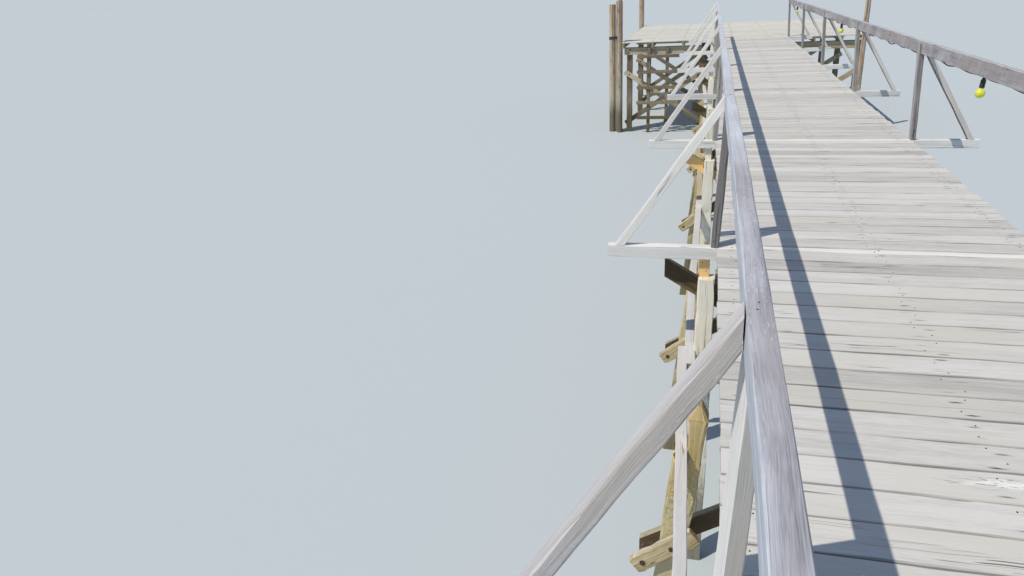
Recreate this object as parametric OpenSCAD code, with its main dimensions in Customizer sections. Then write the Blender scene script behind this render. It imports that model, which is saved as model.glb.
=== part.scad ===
// Weathered timber walkway jetty on piles: six bays, outrigged handrails, T-shaped head.
// Millimetres. +Y runs seaward along the walkway, +X is its right side, +Z is up.
// z = 0 is the waterline, where the legs meet the water.

/* [Walkway] */
// Width of the walkway deck
deck_w = 1855; // [1500:5:2300]
// Height of the deck top above the waterline
deck_h = 2500; // [2200:10:3200]
// Thickness of the deck boards
board_t = 30; // [22:1:40]
// Length of the bay at the shore end
first_bay_l = 3100; // [2700:10:3800]
// Length of each further bay
bay_l = 3390; // [3000:10:3800]
// Length of deck before the first station
stub_l = 850; // [600:10:1200]
// Width of a stringer
stringer_w = 60; // [50:1:90]
// Depth of a stringer
stringer_d = 140; // [120:1:180]
// Distance of the side stringers in from the deck edge
stringer_in = 115; // [80:1:200]

/* [Outriggers] */
// Width of a cross timber
out_w = 65; // [55:1:90]
// Depth of a cross timber
out_d = 80; // [60:1:100]
// Reach of a cross timber past the left deck edge
reach_l = 690; // [560:5:900]
// Reach of a cross timber past the right deck edge
reach_r = 600; // [520:5:900]

/* [Handrails] */
// Height of the left rail top above the deck
rail_top = 945; // [860:5:1100]
// Width of the left rail
rail_w = 55; // [45:1:90]
// Depth of the left rail
rail_d = 95; // [80:1:140]
// Height of the right rail top above the deck
rail_top_r = 927; // [860:1:1100]
// Width of the right rail
rail_w_r = 45; // [40:1:55]
// Depth of the right rail
rail_d_r = 115; // [80:1:140]
// Width of a post across the walkway
post_w = 48; // [44:1:80]
// Inward lean of a post from foot to top
post_lean = 40; // [0:1:60]
// Width of a brace in its slope
brace_w = 50; // [44:1:110]
// Depth of a post and a brace along the walkway
brace_t = 78; // [40:1:90]
// Distance of a brace foot in from the cross timber tip
brace_in = 50; // [40:1:150]

/* [Substructure] */
// Side of a squared pile
pile_w = 115; // [100:1:150]
// Depth of the pile tops below the deck top
pile_drop = 210; // [205:1:250]
// Thickness of a cap beam at a station
cap_t = 70; // [50:1:90]
// Depth of a cap beam
cap_d = 150; // [120:1:170]
// Width of the longitudinal waling
waling_w = 62; // [40:1:70]
// Depth of the longitudinal waling
waling_d = 100; // [80:1:130]
// Depth of the waling top below the deck top
waling_drop = 720; // [650:5:800]
// Outward slope of the raking piles, per thousand
raker_slope = 100; // [80:1:180]
// Width of a raking pile across the walkway
raker_w = 150; // [130:1:170]
// Thickness of the sway braces and cleats
sway_t = 45; // [35:1:55]
// Width of the sway braces and cleats
sway_d = 115; // [90:1:140]
// Depth of the raking pile tips below the deck top
raker_drop = 460; // [400:5:560]
// Depth below the deck top of the sway braces' outer tips
sway_drop = 1460; // [1300:10:1700]
// Overhang of the sway braces past the deck edge
sway_out = 360; // [320:5:460]
// Length of a cleat
cleat_l = 420; // [360:5:520]
// How far the raking trestles stray from mid-bay, as a share of the strays measured
stray = 1; // [0:0.1:1]

/* [Head] */
// Length of the jetty head
head_l = 7500; // [6000:50:9000]
// Reach of the head past the left walkway edge
head_left = 2500; // [2200:10:3200]
// Reach of the head past the right walkway edge
head_right = 2000; // [1800:10:3000]
// Side of a squared head pile
head_pile_w = 150; // [130:1:200]
// Diameter of a mooring pile
moor_d = 190; // [150:1:240]
// Height of the mooring piles above the deck
moor_up = 1150; // [800:10:1500]
// Thickness of the strap round the mooring piles
strap_t = 6; // [4:1:10]
// Depth of the head caps
head_cap_d = 180; // [150:1:220]
// Width of the head braces
head_brace_w = 130; // [100:1:160]
// Width of the ladder between its stile centres
ladder_w = 500; // [420:10:800]
// Spacing of the ladder rungs
rung_pitch = 420; // [300:10:460]

/* [Festoon] */
// Thickness of the lamp cable under the right rail
cable_d = 12; // [9:1:18]
// Diameter of a globe bulb
bulb_d = 70; // [50:1:90]

/* [Hidden] */
$fn = 48;
z0 = -deck_h;
cx = deck_w / 2;
// stations of the cross timbers, measured from the shore end of the deck
st = [for (i = [0:6]) stub_l + (i == 0 ? 0 : first_bay_l + (i - 1) * bay_l)];
// strays of the raking trestles from mid-bay, read from the photograph
dev = [400, -285, 75, -60, 45, -30];
mid = [for (i = [0:5]) (st[i] + st[i + 1]) / 2 + dev[i] * stray];
s_bot = -board_t - stringer_d;
hy0 = st[6] + out_w / 2 + 4;
hy1 = hy0 + head_l;
hx0 = -head_left;
hx1 = deck_w + head_right;
row_in = 250;                    // first row of head piles, in from the near edge
col_in = 200;                    // outer head piles, in from the side edges
rows = [hy0 + row_in, hy0 + head_l / 2, hy1 - row_in];
cols = [for (k = [0:3]) hx0 + col_in + k * (hx1 - hx0 - 2 * col_in) / 3];
hp = head_pile_w / 2;
hc = 60;                         // thickness of a head cap plank
slim_d = 0.7 * moor_d;           // a slimmer mooring pile
moor_gap = 2;                    // between the two lashed piles
x_lo = hx0 - 2 * moor_d - moor_gap - strap_t;
x_hi = hx1;
ox = -(x_lo + x_hi) / 2;
oy = -(hy1) / 2;
pin = 0;                         // inner pile face to the deck edge
rail_c = 27.5;                   // left rail centre, in from the deck edge
rail_cr = 12.5;                  // right rail centre, in from the deck edge
r_bot = rail_top - rail_d;
r_bot_r = rail_top_r - rail_d_r;
rail_lo = deck_w - rail_cr - rail_w_r / 2;   // right rail, walkway face
rail_hi = deck_w - rail_cr + rail_w_r / 2;   // right rail, outer face
post_xr = rail_hi - cable_d - 2 - post_w / 2; // right post centre at the rail's underside
lap_z = r_bot_r + 0.75 * rail_d_r;           // top of the right posts' lap on the rail
function prop_y(y) = y - out_w / 2 + 0.5 + brace_t / 2;
rail_end = st[6] + 260;
cap_bot = s_bot - cap_d;
sway_end = 142;                  // where a sway brace meets the cap, in from the far deck edge
ms = (sway_drop + sway_d / 2 + s_bot) / (deck_w - sway_end + sway_out);  // rise of the sway braces
kerf = 2;                        // saw cut between two lengths of one run
lap_l = 250;                     // lap of one waling length on the next
spring_l = 2000;                 // run in which a waling is sprung out to its lap
splice_in = 390;                 // right rail splices, in from the station
halved_l = 160;                  // length of a halved splice
lamp_on = 1655;                  // a lamp past its station
lamps = [for (k = [1, 3, 5]) st[k] + lamp_on];

module place() { translate([ox, oy, deck_h]) children(); }
module bx(x0, x1, y0, y1, za, zb) { translate([x0, y0, za]) cube([x1 - x0, y1 - y0, zb - za]); }
// a flat profile in X and Z, t thick along Y and centred on y
module xz(y, t) { translate([0, y + t / 2, 0]) rotate([90, 0, 0]) linear_extrude(t) children(); }
// the same, mirrored to the right side of the walkway
module mir() { translate([deck_w, 0, 0]) mirror([1, 0, 0]) children(); }

// ---- deck
module deck_slab(ya, yb) { bx(0, deck_w, ya, yb, -board_t, 0); }
module deck_shore() { color([0.82, 0.81, 0.79]) place() deck_slab(0, st[0] - out_w / 2 - 4); }
module deck_bay(i) { color([0.82, 0.81, 0.79]) place() deck_slab(st[i - 1] + out_w / 2 + 4, st[i] - out_w / 2 - 4); }
module deck_head() { color([0.80, 0.79, 0.77]) place() bx(hx0, hx1, hy0, hy1, -board_t, 0); }

// ---- stringers, notched for the cross timbers
module stringer(x) {
  color([0.60, 0.57, 0.52]) place() difference() {
    bx(x - stringer_w / 2, x + stringer_w / 2, 0, hy0 + 820, s_bot, -board_t);
    for (y = st) bx(x - stringer_w, x + stringer_w, y - out_w / 2, y + out_w / 2, -out_d, 10);
    // butted over every second cap
    for (i = [1, 3, 5]) bx(x - stringer_w, x + stringer_w, st[i] - kerf / 2, st[i] + kerf / 2, s_bot - 10, 10);
  }
}

// ---- cross timbers
module outriggers() { color([0.86, 0.85, 0.83]) place() for (y = st) bx(-reach_l, deck_w + reach_r, y - out_w / 2, y + out_w / 2, -out_d, 0); }
module outrigger_blocks() {
  color([0.88, 0.69, 0.42]) place() for (y = st) {
    bx(-pin - pile_w + 10, -pin - 38, y + 2, y + pile_w / 2, -pile_drop, -out_d);
    mir() bx(-pin - pile_w + 10, -pin - 38, y + 2, y + pile_w / 2, -pile_drop, -out_d);
  }
}

// ---- handrails, posts and raking braces
// the left rail is butted over every second post
module handrail_left() {
  ends = [0, prop_y(st[1]), prop_y(st[3]), prop_y(st[5]), rail_end];
  color([0.72, 0.71, 0.75]) place() for (i = [0:3])
    bx(rail_c - rail_w / 2, rail_c + rail_w / 2, ends[i] + (i > 0 ? kerf / 2 : 0), ends[i + 1] - (i < 3 ? kerf / 2 : 0), r_bot, rail_top);
}
// the right rail's lengths are halved over each other, the near one on the walkway side
module handrail_right() {
  ends = [0, st[2] - splice_in, st[4] - splice_in, rail_end];
  xm = (rail_lo + rail_hi) / 2;
  color([0.62, 0.58, 0.60]) place() for (i = [0:2]) difference() {
    bx(rail_lo, rail_hi, i > 0 ? ends[i] - halved_l + kerf : 0, ends[i + 1], r_bot_r, rail_top_r);
    if (i > 0) bx(rail_lo - 10, xm + kerf / 4, ends[i] - halved_l, ends[i] + kerf, r_bot_r - 10, rail_top_r + 10);
    if (i < 2) bx(xm - kerf / 4, rail_hi + 10, ends[i + 1] - halved_l, ends[i + 1] + kerf, r_bot_r - 10, rail_top_r + 10);
  }
}
ph = post_w / 2;
module post_l2d() {
  xb = rail_c - post_lean;
  polygon([[xb - ph, 0], [xb + ph, 0], [rail_c + ph, r_bot], [rail_c - ph, r_bot]]);
}
// the right posts are notched for the rail and lap its walkway face
module post_r2d() {
  xb = post_xr + post_lean;
  polygon([[xb - ph, 0], [xb + ph, 0], [post_xr + ph, r_bot_r], [rail_lo, r_bot_r], [rail_lo, lap_z], [xb - ph - post_lean * lap_z / r_bot_r, lap_z]]);
}
module posts_left() { color([0.62, 0.61, 0.60]) place() for (y = st) xz(prop_y(y), brace_t) post_l2d(); }
module posts_right() { color([0.62, 0.60, 0.58]) place() for (y = st) xz(prop_y(y), brace_t) post_r2d(); }
// a strip of width w from a to b, carried on past b
module strip(a, b, w, on) {
  d = b - a;
  l = norm(d);
  translate(a) rotate([0, 0, atan2(d[1], d[0])]) translate([-w * 2, -w / 2]) square([l + w * 2 + on, w]);
}
// a brace whose upper edge runs from its foot f to the rail's side at t
module prop_2d(f, t, w) {
  d = t - f;
  intersection() {
    translate(f) rotate([0, 0, atan2(d[1], d[0])]) translate([-w * 2, -w]) square([norm(d) + w * 4, w]);
    translate([f[0], 0]) square([t[0] - f[0], t[1]]);
  }
}
// the first left brace stands further in
foot_in = [for (i = [0:6]) brace_in + (i == 0 ? 50 : 0)];
module braces_left() {
  color([0.74, 0.72, 0.71]) place() for (i = [0:6]) xz(prop_y(st[i]), brace_t) difference() {
    prop_2d([-reach_l + foot_in[i], 0], [rail_c - rail_w / 2, rail_top], brace_w);
    post_l2d();
  }
}
module braces_right() {
  color([0.66, 0.65, 0.64]) place() for (y = st) xz(prop_y(y), brace_t) difference() {
    mir() prop_2d([-reach_r + brace_in, 0], [deck_w - rail_hi, rail_top_r - 20], brace_w - 6);
    post_r2d();
  }
}

// ---- station trestles: upright piles, a cap and one diagonal
module pile_row() { for (y = st) bx(-pin - pile_w, -pin, y - pile_w / 2, y + pile_w / 2, z0, -pile_drop); }
module piles_left() { color([0.88, 0.85, 0.74]) place() pile_row(); }
module piles_right() { color([0.88, 0.85, 0.74]) place() mir() pile_row(); }
// the cap is cut in between the two piles, under the stringers
module station_caps() {
  color([0.52, 0.48, 0.42]) place() for (y = st)
    bx(-pin, deck_w + pin, y - cap_t / 2, y + cap_t / 2, cap_bot, s_bot);
}
dg_out = pin + pile_w + 200;     // reach of the diagonal past the deck edge, high end
dg_end = pin + pile_w + 130;     // and at its low end
dg_z = s_bot - 12;               // centre of its high end
module station_diagonals() {
  color([0.78, 0.62, 0.38]) place() for (y = st) xz(y + pile_w / 2 + sway_t / 2, sway_t)
    intersection() {
      strip([-dg_out, dg_z], [deck_w + dg_end, dg_z - 0.6 * (deck_w + dg_out + dg_end)], sway_d, 0);
      translate([-dg_out - 10, z0]) square([deck_w + dg_out + dg_end + 20, deck_h - out_d - 8]);
    }
}

// ---- walings along both sides
// each length runs along the pile faces and is sprung out to lap outside the next
module waling() {
  face = -pin - pile_w;
  ends = [0, st[1], st[3], st[5], st[6] + 420];
  translate([0, 0, -waling_drop - waling_d]) linear_extrude(waling_d) for (i = [0:3]) {
    ya = i > 0 ? ends[i] - lap_l : 0;
    ye = ends[i + 1];
    yl = ye - lap_l - 20;
    out = waling_w + kerf / 4;
    if (i < 3) polygon([[face, ya], [face, yl - spring_l], [face - out, yl], [face - out, ye],
      [face - out - waling_w, ye], [face - out - waling_w, yl], [face - waling_w, yl - spring_l], [face - waling_w, ya]]);
    else translate([face - waling_w, ya]) square([waling_w, ye - ya]);
  }
}
module waling_left() { color([0.74, 0.72, 0.71]) place() waling(); }
module waling_right() { color([0.70, 0.68, 0.66]) place() mir() waling(); }

// ---- raking trestles at mid-bay
rk_top = -raker_drop;
tip_l = 85;                      // length of the hewn tip
rk_seat = -waling_drop - waling_d;
// the inner face at the head, and the outer face below the waling
function rk_in(z) = -16 + (z - rk_top + tip_l) * raker_slope / 1000;
function rk_out(z) = rk_in(z) - raker_w;
module raker_2d() {
  face = -pin - pile_w;
  polygon([[rk_out(z0), z0], [rk_in(z0), z0], [rk_in(rk_top - tip_l), rk_top - tip_l], [-56, rk_top], [-72, rk_top],
    [face, rk_top - tip_l], [face, rk_seat], [rk_out(rk_seat), rk_seat]]);
}
module raker_row() { for (y = mid) xz(y, pile_w) raker_2d(); }
module rakers_left() { color([0.66, 0.58, 0.42]) place() raker_row(); }
module rakers_right() { color([0.66, 0.58, 0.42]) place() mir() raker_row(); }
module trestle_caps() {
  color([0.52, 0.48, 0.42]) place() for (y = mid)
    bx(30, deck_w - 30, y - pile_w / 2, y + pile_w / 2, cap_bot, s_bot);
}
// one long sway brace, rising from the left raker to the cap
module sway_2d() {
  intersection() {
    strip([-sway_out, -sway_drop - sway_d / 2], [deck_w * 0.75, -sway_drop - sway_d / 2 + (deck_w * 0.75 + sway_out) * ms], sway_d, 300);
    translate([-sway_out - 12, z0]) square([deck_w + sway_out - 300, deck_h + s_bot]);
  }
}
module cleat_2d() { translate([-sway_out + 10, -sway_drop - sway_d]) rotate([0, 0, 38]) square([cleat_l, sway_d]); }
module sway_braces() {
  color([0.50, 0.42, 0.30]) place() for (y = mid) {
    xz(y + pile_w / 2 + sway_t / 2, sway_t) sway_2d();
    mir() xz(y - pile_w / 2 - sway_t / 2, sway_t) sway_2d();
  }
}
module sway_cleats() {
  color([0.60, 0.50, 0.34]) place() for (y = mid) {
    xz(y - pile_w / 2 - sway_t / 2, sway_t) cleat_2d();
    mir() xz(y + pile_w / 2 + sway_t / 2, sway_t) cleat_2d();
  }
}

// ---- jetty head
module head_piles(k) { color([0.62, 0.58, 0.50]) place() for (y = rows) bx(cols[k] - hp, cols[k] + hp, y - hp, y + hp, z0, s_bot); }
module head_caps() {
  color([0.58, 0.54, 0.48]) place() for (y = rows, s = [-1, 1])
    bx(hx0 + 60, hx1 - 60, y + s * (hp + hc / 2) - hc / 2, y + s * (hp + hc / 2) + hc / 2, s_bot - head_cap_d, s_bot);
}
sw = stringer_w / 2;
hj = [hx0 + sw, hx0 * 2 / 3, hx0 / 3, deck_w * 0.25, deck_w * 0.75, deck_w + head_right / 3, deck_w + head_right * 2 / 3, hx1 - sw];
module head_joists() { color([0.60, 0.57, 0.52]) place() for (x = hj) bx(x - sw, x + sw, hy0 + 10, hy1 - 10, s_bot, -board_t); }
module hd_2d(a, b) {
  intersection() {
    strip([a, s_bot - 4 * head_cap_d], [b, z0 + 300], head_brace_w, 2 * head_brace_w);
    translate([min(a, b) - 140, z0 + 60]) square([abs(b - a) + 280, deck_h + s_bot - head_cap_d - 120]);
  }
}
module head_braces() {
  color([0.72, 0.68, 0.60]) place() for (y = rows) {
    xz(y - hp - 25, 50) { hd_2d(cols[0], cols[1]); hd_2d(cols[3], cols[2]); }
    xz(y + hp + 25, 50) { hd_2d(cols[1], cols[0]); hd_2d(cols[2], cols[3]); }
  }
}
// tall round piles lashed together at the near left corner, and single ones
moor = [[hx0 - moor_d / 2, rows[0]], [hx0 - 1.5 * moor_d - moor_gap, rows[0]]];
module mooring_piles() {
  color([0.58, 0.54, 0.48]) place() {
    translate([moor[0][0], moor[0][1], z0]) cylinder(d = moor_d, h = deck_h + moor_up - 80);
    translate([moor[1][0], moor[1][1], z0]) cylinder(d = moor_d, h = deck_h + moor_up - 160);
    translate([hx0 - slim_d / 2, rows[0] - (moor_d + slim_d) / 2 - strap_t - 4, z0]) cylinder(d = slim_d, h = deck_h + moor_up);
    translate([hx0 - moor_d / 2, rows[2], z0]) cylinder(d = moor_d, h = deck_h + moor_up - 120);
    translate([hx1 - 155, hy0 - slim_d / 2, z0]) cylinder(d = slim_d, h = deck_h + moor_up - 40);
  }
}
module round2(r) {
  for (c = moor) translate(c) circle(r);
  translate([moor[1][0], rows[0] - r]) square([moor_d + moor_gap, 2 * r]);
}
module mooring_strap() {
  color([0.16, 0.16, 0.17]) place() translate([0, 0, 70]) linear_extrude(75) difference() {
    round2(moor_d / 2 + strap_t);
    round2(moor_d / 2);
    translate([hx0 - 3 * strap_t, rows[0] - moor_d]) square([moor_d, 2 * moor_d]);
  }
}
ladder_y = rows[0] - hp - hc;
ladder_x = [hx0 + 750, hx0 + 750 + ladder_w];
stile = 85;
module ladder_stiles() {
  color([0.50, 0.46, 0.40]) place() for (x = ladder_x)
    bx(x - stile / 2, x + stile / 2, ladder_y - stile, ladder_y, z0, s_bot);
}
module ladder_rungs() {
  color([0.55, 0.50, 0.44]) place() for (k = [0:4])
    bx(ladder_x[0] - 325, ladder_x[1] + 325, ladder_y - stile - 45, ladder_y - stile, s_bot - head_cap_d - 90 - k * rung_pitch, s_bot - head_cap_d - k * rung_pitch);
}

// ---- lamps hung on a cable under the right rail
lamp_x = rail_hi - cable_d / 2 - 1;
lamp_z = r_bot_r - cable_d / 2;
holder_h = 72;
module festoon_cable() {
  color([0.08, 0.08, 0.09]) place() translate([lamp_x, 40, lamp_z]) rotate([-90, 0, 0]) cylinder(d = cable_d, h = rail_end - 80);
}
module lampholders() {
  color([0.10, 0.10, 0.11]) place() for (y = lamps) translate([lamp_x, y, lamp_z - cable_d / 2 - holder_h]) cylinder(d = 38, h = holder_h);
}
module globe_bulbs() {
  color([0.90, 0.92, 0.25]) place() for (y = lamps) translate([lamp_x, y, lamp_z - cable_d / 2 - holder_h]) {
    translate([0, 0, -10]) cylinder(d = 28, h = 10);
    translate([0, 0, -6 - bulb_d / 2]) sphere(d = bulb_d);
  }
}

deck_shore();
deck_bay(1);  // deck_bay_1
deck_bay(2);  // deck_bay_2
deck_bay(3);  // deck_bay_3
deck_bay(4);  // deck_bay_4
deck_bay(5);  // deck_bay_5
deck_bay(6);  // deck_bay_6
deck_head();
stringer(stringer_in);  // stringer_left
stringer(cx);  // stringer_centre
stringer(deck_w - stringer_in);  // stringer_right
outriggers();
outrigger_blocks();
handrail_left();
handrail_right();
posts_left();
posts_right();
braces_left();
braces_right();
piles_left();
piles_right();
station_caps();
station_diagonals();
waling_left();
waling_right();
rakers_left();
rakers_right();
trestle_caps();
sway_braces();
sway_cleats();
for (k = [0:3]) head_piles(k);
head_caps();
head_joists();
head_braces();
mooring_piles();
mooring_strap();
ladder_stiles();
ladder_rungs();
festoon_cable();
lampholders();
globe_bulbs();
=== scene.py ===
import math

import bpy
import numpy as np
from mathutils import Matrix, Vector


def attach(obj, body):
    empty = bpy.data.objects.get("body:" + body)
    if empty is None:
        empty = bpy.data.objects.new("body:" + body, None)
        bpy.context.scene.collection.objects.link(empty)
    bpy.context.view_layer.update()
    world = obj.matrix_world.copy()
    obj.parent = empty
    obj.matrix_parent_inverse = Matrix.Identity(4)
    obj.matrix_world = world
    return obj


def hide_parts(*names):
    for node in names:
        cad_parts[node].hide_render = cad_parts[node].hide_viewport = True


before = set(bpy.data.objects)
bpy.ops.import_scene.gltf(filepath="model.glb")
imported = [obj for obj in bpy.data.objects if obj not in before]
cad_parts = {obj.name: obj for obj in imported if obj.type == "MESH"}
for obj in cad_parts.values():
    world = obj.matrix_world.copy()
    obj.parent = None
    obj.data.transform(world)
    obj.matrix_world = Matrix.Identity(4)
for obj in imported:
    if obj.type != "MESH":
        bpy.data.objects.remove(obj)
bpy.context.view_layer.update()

# Upright piles
# Squared softwood piles, driven in pairs under every cross timber and sawn off
# level. Salt and sun leave them cream above and crusted white lower down.

WATERLINE = -2500
DECK_WIDE = 1855
MIDDLE = (483.5, 14218.25, WATERLINE)
FIRST_STATION, FIRST_BAY, BAY = 850, 3100, 3390
STATIONS = [FIRST_STATION] + [FIRST_STATION + FIRST_BAY + BAY * k for k in range(6)]
PILE_SIDE = 115
PILE_TOP = -210
PILE_TAPER = [(0, 1, 1), (1700, 0.97, 1), (2290, 0.9, 0.97)]
ALONG_X = (1, 0, 0)


def in_metres(points):
    """From millimetres off the left, shore end of the deck top to the frame."""
    return (np.asarray(points, float) - MIDDLE) / 1000.0


def as_drawn(x):
    """The left side, which the sizes are written for."""
    return x


def across(x):
    """The same place on the other side of the walkway."""
    return DECK_WIDE - x


SIDES = (("left", as_drawn, -1), ("right", across, 1))


def level_cut(z):
    """A saw cut level at a height."""
    return ((0, 0, z), (0, 0, 1))


FOOT_CUT = level_cut(WATERLINE + 0.5)


def skin(rings, around):
    """The four-sided faces between rings of points that follow one another."""
    faces = []
    for near in range(0, (rings - 1) * around, around):
        for j in range(around):
            k = (j + 1) % around
            faces.append([near + j, near + k, near + around + k, near + around + j])
    return faces


def unrolled(u, v, seed):
    """The grain at the corners of such a skin: u along the timber, v round it."""
    rings, around = u.shape
    u = np.hstack([u, u[:, :1]])
    grain = []
    for i in range(rings - 1):
        for j in range(around):
            grain += [(u[i + a, j + b], v[j + b], seed) for a, b in ((0, 0), (0, 1), (1, 1), (1, 0))]
    return grain


class Lot:
    """A lot of sawn timber: its sticks and fixings are gathered, then made one mesh."""

    def __init__(self, seed):
        self.rng = np.random.default_rng(seed)
        self.points, self.faces, self.finish = [], [], []
        self.grain, self.tone, self.check = [], [], []
        self.count = 0

    def gather(self, points, faces, finish, grain, tone=0.0, check=0.0):
        """Adds one form. finish is the place in the list of finishes, face by face."""
        self.points.append(points)
        self.faces += [[i + self.count for i in face] for face in faces]
        self.finish += finish
        self.grain += grain
        self.tone.append(np.full(len(points), tone))
        self.check.append(np.broadcast_to(check, len(points)))
        self.count += len(points)

    def wander(self, along, reach, wave=700.0):
        """A slow unevenness along a sawn face."""
        out = np.zeros(len(along))
        for share, length in ((0.6, wave), (0.3, wave / 2.3), (0.1, wave / 5.1)):
            out += share * np.sin(2 * math.pi * (along / length + self.rng.random()))
        return out * reach

    def section(self, corners, breadths, share, along, round_off, checks, check_deep):
        """Five points to a face: its two soft arrises, and a drying check that may open between
        them. Gives their places in the section, the painted shade down in the check, and how far round they
        lie."""
        rng, rings = self.rng, len(share)
        p, q, dark, around = [], [], [], []
        walked = 0.0
        for face, inward in enumerate(((0, 1), (-1, 0), (0, -1), (1, 0))):
            (p0, q0), (p1, q1) = corners[face], corners[(face + 1) % 4]
            size = np.maximum(np.hypot(p1 - p0, q1 - q0), 1e-6)
            soft = []
            for _ in range(2):
                edge = round_off * rng.uniform(0.6, 1.4) * (1 + 0.3 * rng.normal(0, 1, rings)).clip(0.4, 2)
                soft.append(np.minimum(edge, 0.2 * size) / size)
            place = rng.uniform(0.27, 0.73) + self.wander(along, 0.025, 900)
            depth = np.zeros(rings)
            if rng.random() < checks:
                depth = check_deep * np.clip(1 - ((share - rng.random()) / rng.uniform(0.2, 0.6)) ** 2, 0, 1)
            mouth = np.minimum(1.5 + 0.25 * depth, 0.03 * size) / size
            spots = (soft[0], place - mouth, place, place + mouth, 1 - soft[1])
            for spot, sunk in zip(spots, (0, 0, depth, 0, 0)):
                p.append(p0 + (p1 - p0) * spot + inward[0] * sunk)
                q.append(q0 + (q1 - q0) * spot + inward[1] * sunk)
                # Painted shade down in the check, darker as it sinks deeper.
                dark.append(np.clip(sunk / 4.0, 0, 1) * np.ones(rings))
                around.append(walked + breadths[face % 2] * float(np.mean(spot)))
            walked += breadths[face % 2]
        return np.array(p).T, np.array(q).T, np.array(dark).T, np.append(around, around[0] + walked)

    def stick(self, start, end, wide, deep, side, cut_start=None, cut_end=None, arris=4.0, uneven=1.5,
              bow=(0.0, 0.0), checks=0.4, check_deep=5.0, step=230.0, taper=(), notches=(), tone=0.0,
              rough=0.4, slew=0.0, sprung=((0.0, 0.0),), finish=(0, 1)):
        """One squared stick from start to end. wide lies along side, deep across it.
        cut_start and cut_end are (point, normal) of a saw cut, taper is (place, wide, deep)
        shares, sprung is (place, shift along side), and a notch is (from, to, face, depths at
        its two ends) with faces 0 under, 1 right, 2 over, 3 left. finish is the place in the
        list of finishes of the one for the faces and the one for the sawn ends."""
        rng = self.rng
        start, end, side = (np.array(v, float) for v in (start, end, side))
        length = np.linalg.norm(end - start)
        ahead = (end - start) / length
        side = side - ahead * (side @ ahead)
        side /= np.linalg.norm(side)
        over = np.cross(ahead, side)
        marks = [place for place, *_ in (*taper, *sprung)]
        for a, b, _, _ in notches:
            marks += [a - 0.6, a + 0.6, b - 0.6, b + 0.6]
        even = np.linspace(0, 1, max(2, int(length / step) + 1))
        share = np.unique(np.clip([*even, *(mark / length for mark in marks)], 0, 1))
        along = share * length
        rings = len(share)
        out = [self.wander(along, uneven) + rng.normal(0, rough, rings) for _ in range(4)]
        for a, b, face, depths in notches:
            out[face] = np.where((along > a) & (along < b), -np.interp(along, (a, b), depths), out[face])
        wide_by, deep_by = np.ones(rings), np.ones(rings)
        if taper:
            places, wides, deeps = zip(*taper)
            wide_by, deep_by = np.interp(along, places, wides), np.interp(along, places, deeps)
        right, left = wide / 2 * wide_by + out[1], -wide / 2 * wide_by - out[3]
        top, foot = deep / 2 * deep_by + out[2], -deep / 2 * deep_by - out[0]
        corners = ((left, foot), (right, foot), (right, top), (left, top))
        round_off = arris * np.minimum(wide_by, deep_by)
        p, q, dark, around = self.section(corners, (wide, deep), share, along, round_off, checks, check_deep)
        if slew:
            turn = slew * (share - 0.5)[:, None]
            p, q = p * np.cos(turn) - q * np.sin(turn), p * np.sin(turn) + q * np.cos(turn)
        ends = []
        for cut, ring, plain in ((cut_start, 0, 0.0), (cut_end, -1, length)):
            if cut is None:
                ends.append(plain + rng.normal(0, 0.4, p.shape[1]))
            else:
                at, normal = np.array(cut[0], float), np.array(cut[1], float)
                lines = start + np.outer(p[ring], side) + np.outer(q[ring], over)
                ends.append(((at - lines) @ normal) / (ahead @ normal))
        s = ends[0] + share[:, None] * (ends[1] - ends[0])
        arch = np.sin(math.pi * share)[:, None]
        p = p + np.interp(along, *zip(*sprung))[:, None]
        points = (start + s[..., None] * ahead + (p + bow[0] * arch)[..., None] * side
                  + (q + bow[1] * arch)[..., None] * over)
        n = p.shape[1]
        seed = rng.uniform(0, 40)
        faces = skin(rings, n)
        looks = [finish[0]] * len(faces) + [finish[1]] * (2 * n)
        grain = unrolled(s / 1000, (around - (wide * 1.5 + deep)) / 1000, seed)
        for ring, centre, way in ((0, rings * n, -1), (rings - 1, rings * n + 1, 1)):
            for j in range(n):
                edge = [j, (j + 1) % n][::way]
                faces.append([centre] + [ring * n + i for i in edge])
                grain += [(0.0, 0.0, seed)] + [(p[ring, i] / 1000, q[ring, i] / 1000, seed) for i in edge]
        middles = [points[0].mean(0) + ahead * 0.5, points[-1].mean(0) - ahead * 0.5]
        self.gather(np.vstack([points.reshape(-1, 3), middles]), faces, looks, grain, tone,
                    np.append(dark.ravel(), [0.3, 0.3]))
        return seed

    def fixing(self, at, out, radius, stands, sides=6, washer=0.0):
        """A nail head or bolt head at a point of a face, with its washer if it has one."""
        at, out = np.array(at, float), np.array(out, float)
        out /= np.linalg.norm(out)
        one = np.cross(out, (0.3, 0.5, 0.81))
        one /= np.linalg.norm(one)
        two = np.cross(out, one)
        levels = [(radius, -3.0), (radius, stands * 0.7), (radius * 0.62, stands)]
        if washer:
            levels = [(washer, -3.0), (washer, 2.5), (radius * 1.05, 2.8), (radius, stands * 0.9),
                      (radius * 0.7, stands)]
        turn = self.rng.uniform(0, 6.28)
        turns = [turn + 2 * math.pi * k / sides for k in range(sides)]
        ring = np.vstack([np.cos(t) * one + np.sin(t) * two for t in turns])
        points = np.vstack([at + r * ring + h * out for r, h in levels] + [at + out * stands, at - out * 3.0])
        faces = skin(len(levels), sides)
        last = (len(levels) - 1) * sides
        for j in range(sides):
            faces.append([last + j, last + (j + 1) % sides, len(points) - 2])
            faces.append([(j + 1) % sides, j, len(points) - 1])
        grain = [(0.0, 0.0, self.rng.uniform(0, 9))] * sum(len(face) for face in faces)
        self.gather(points, faces, [2] * len(faces), grain)

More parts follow.
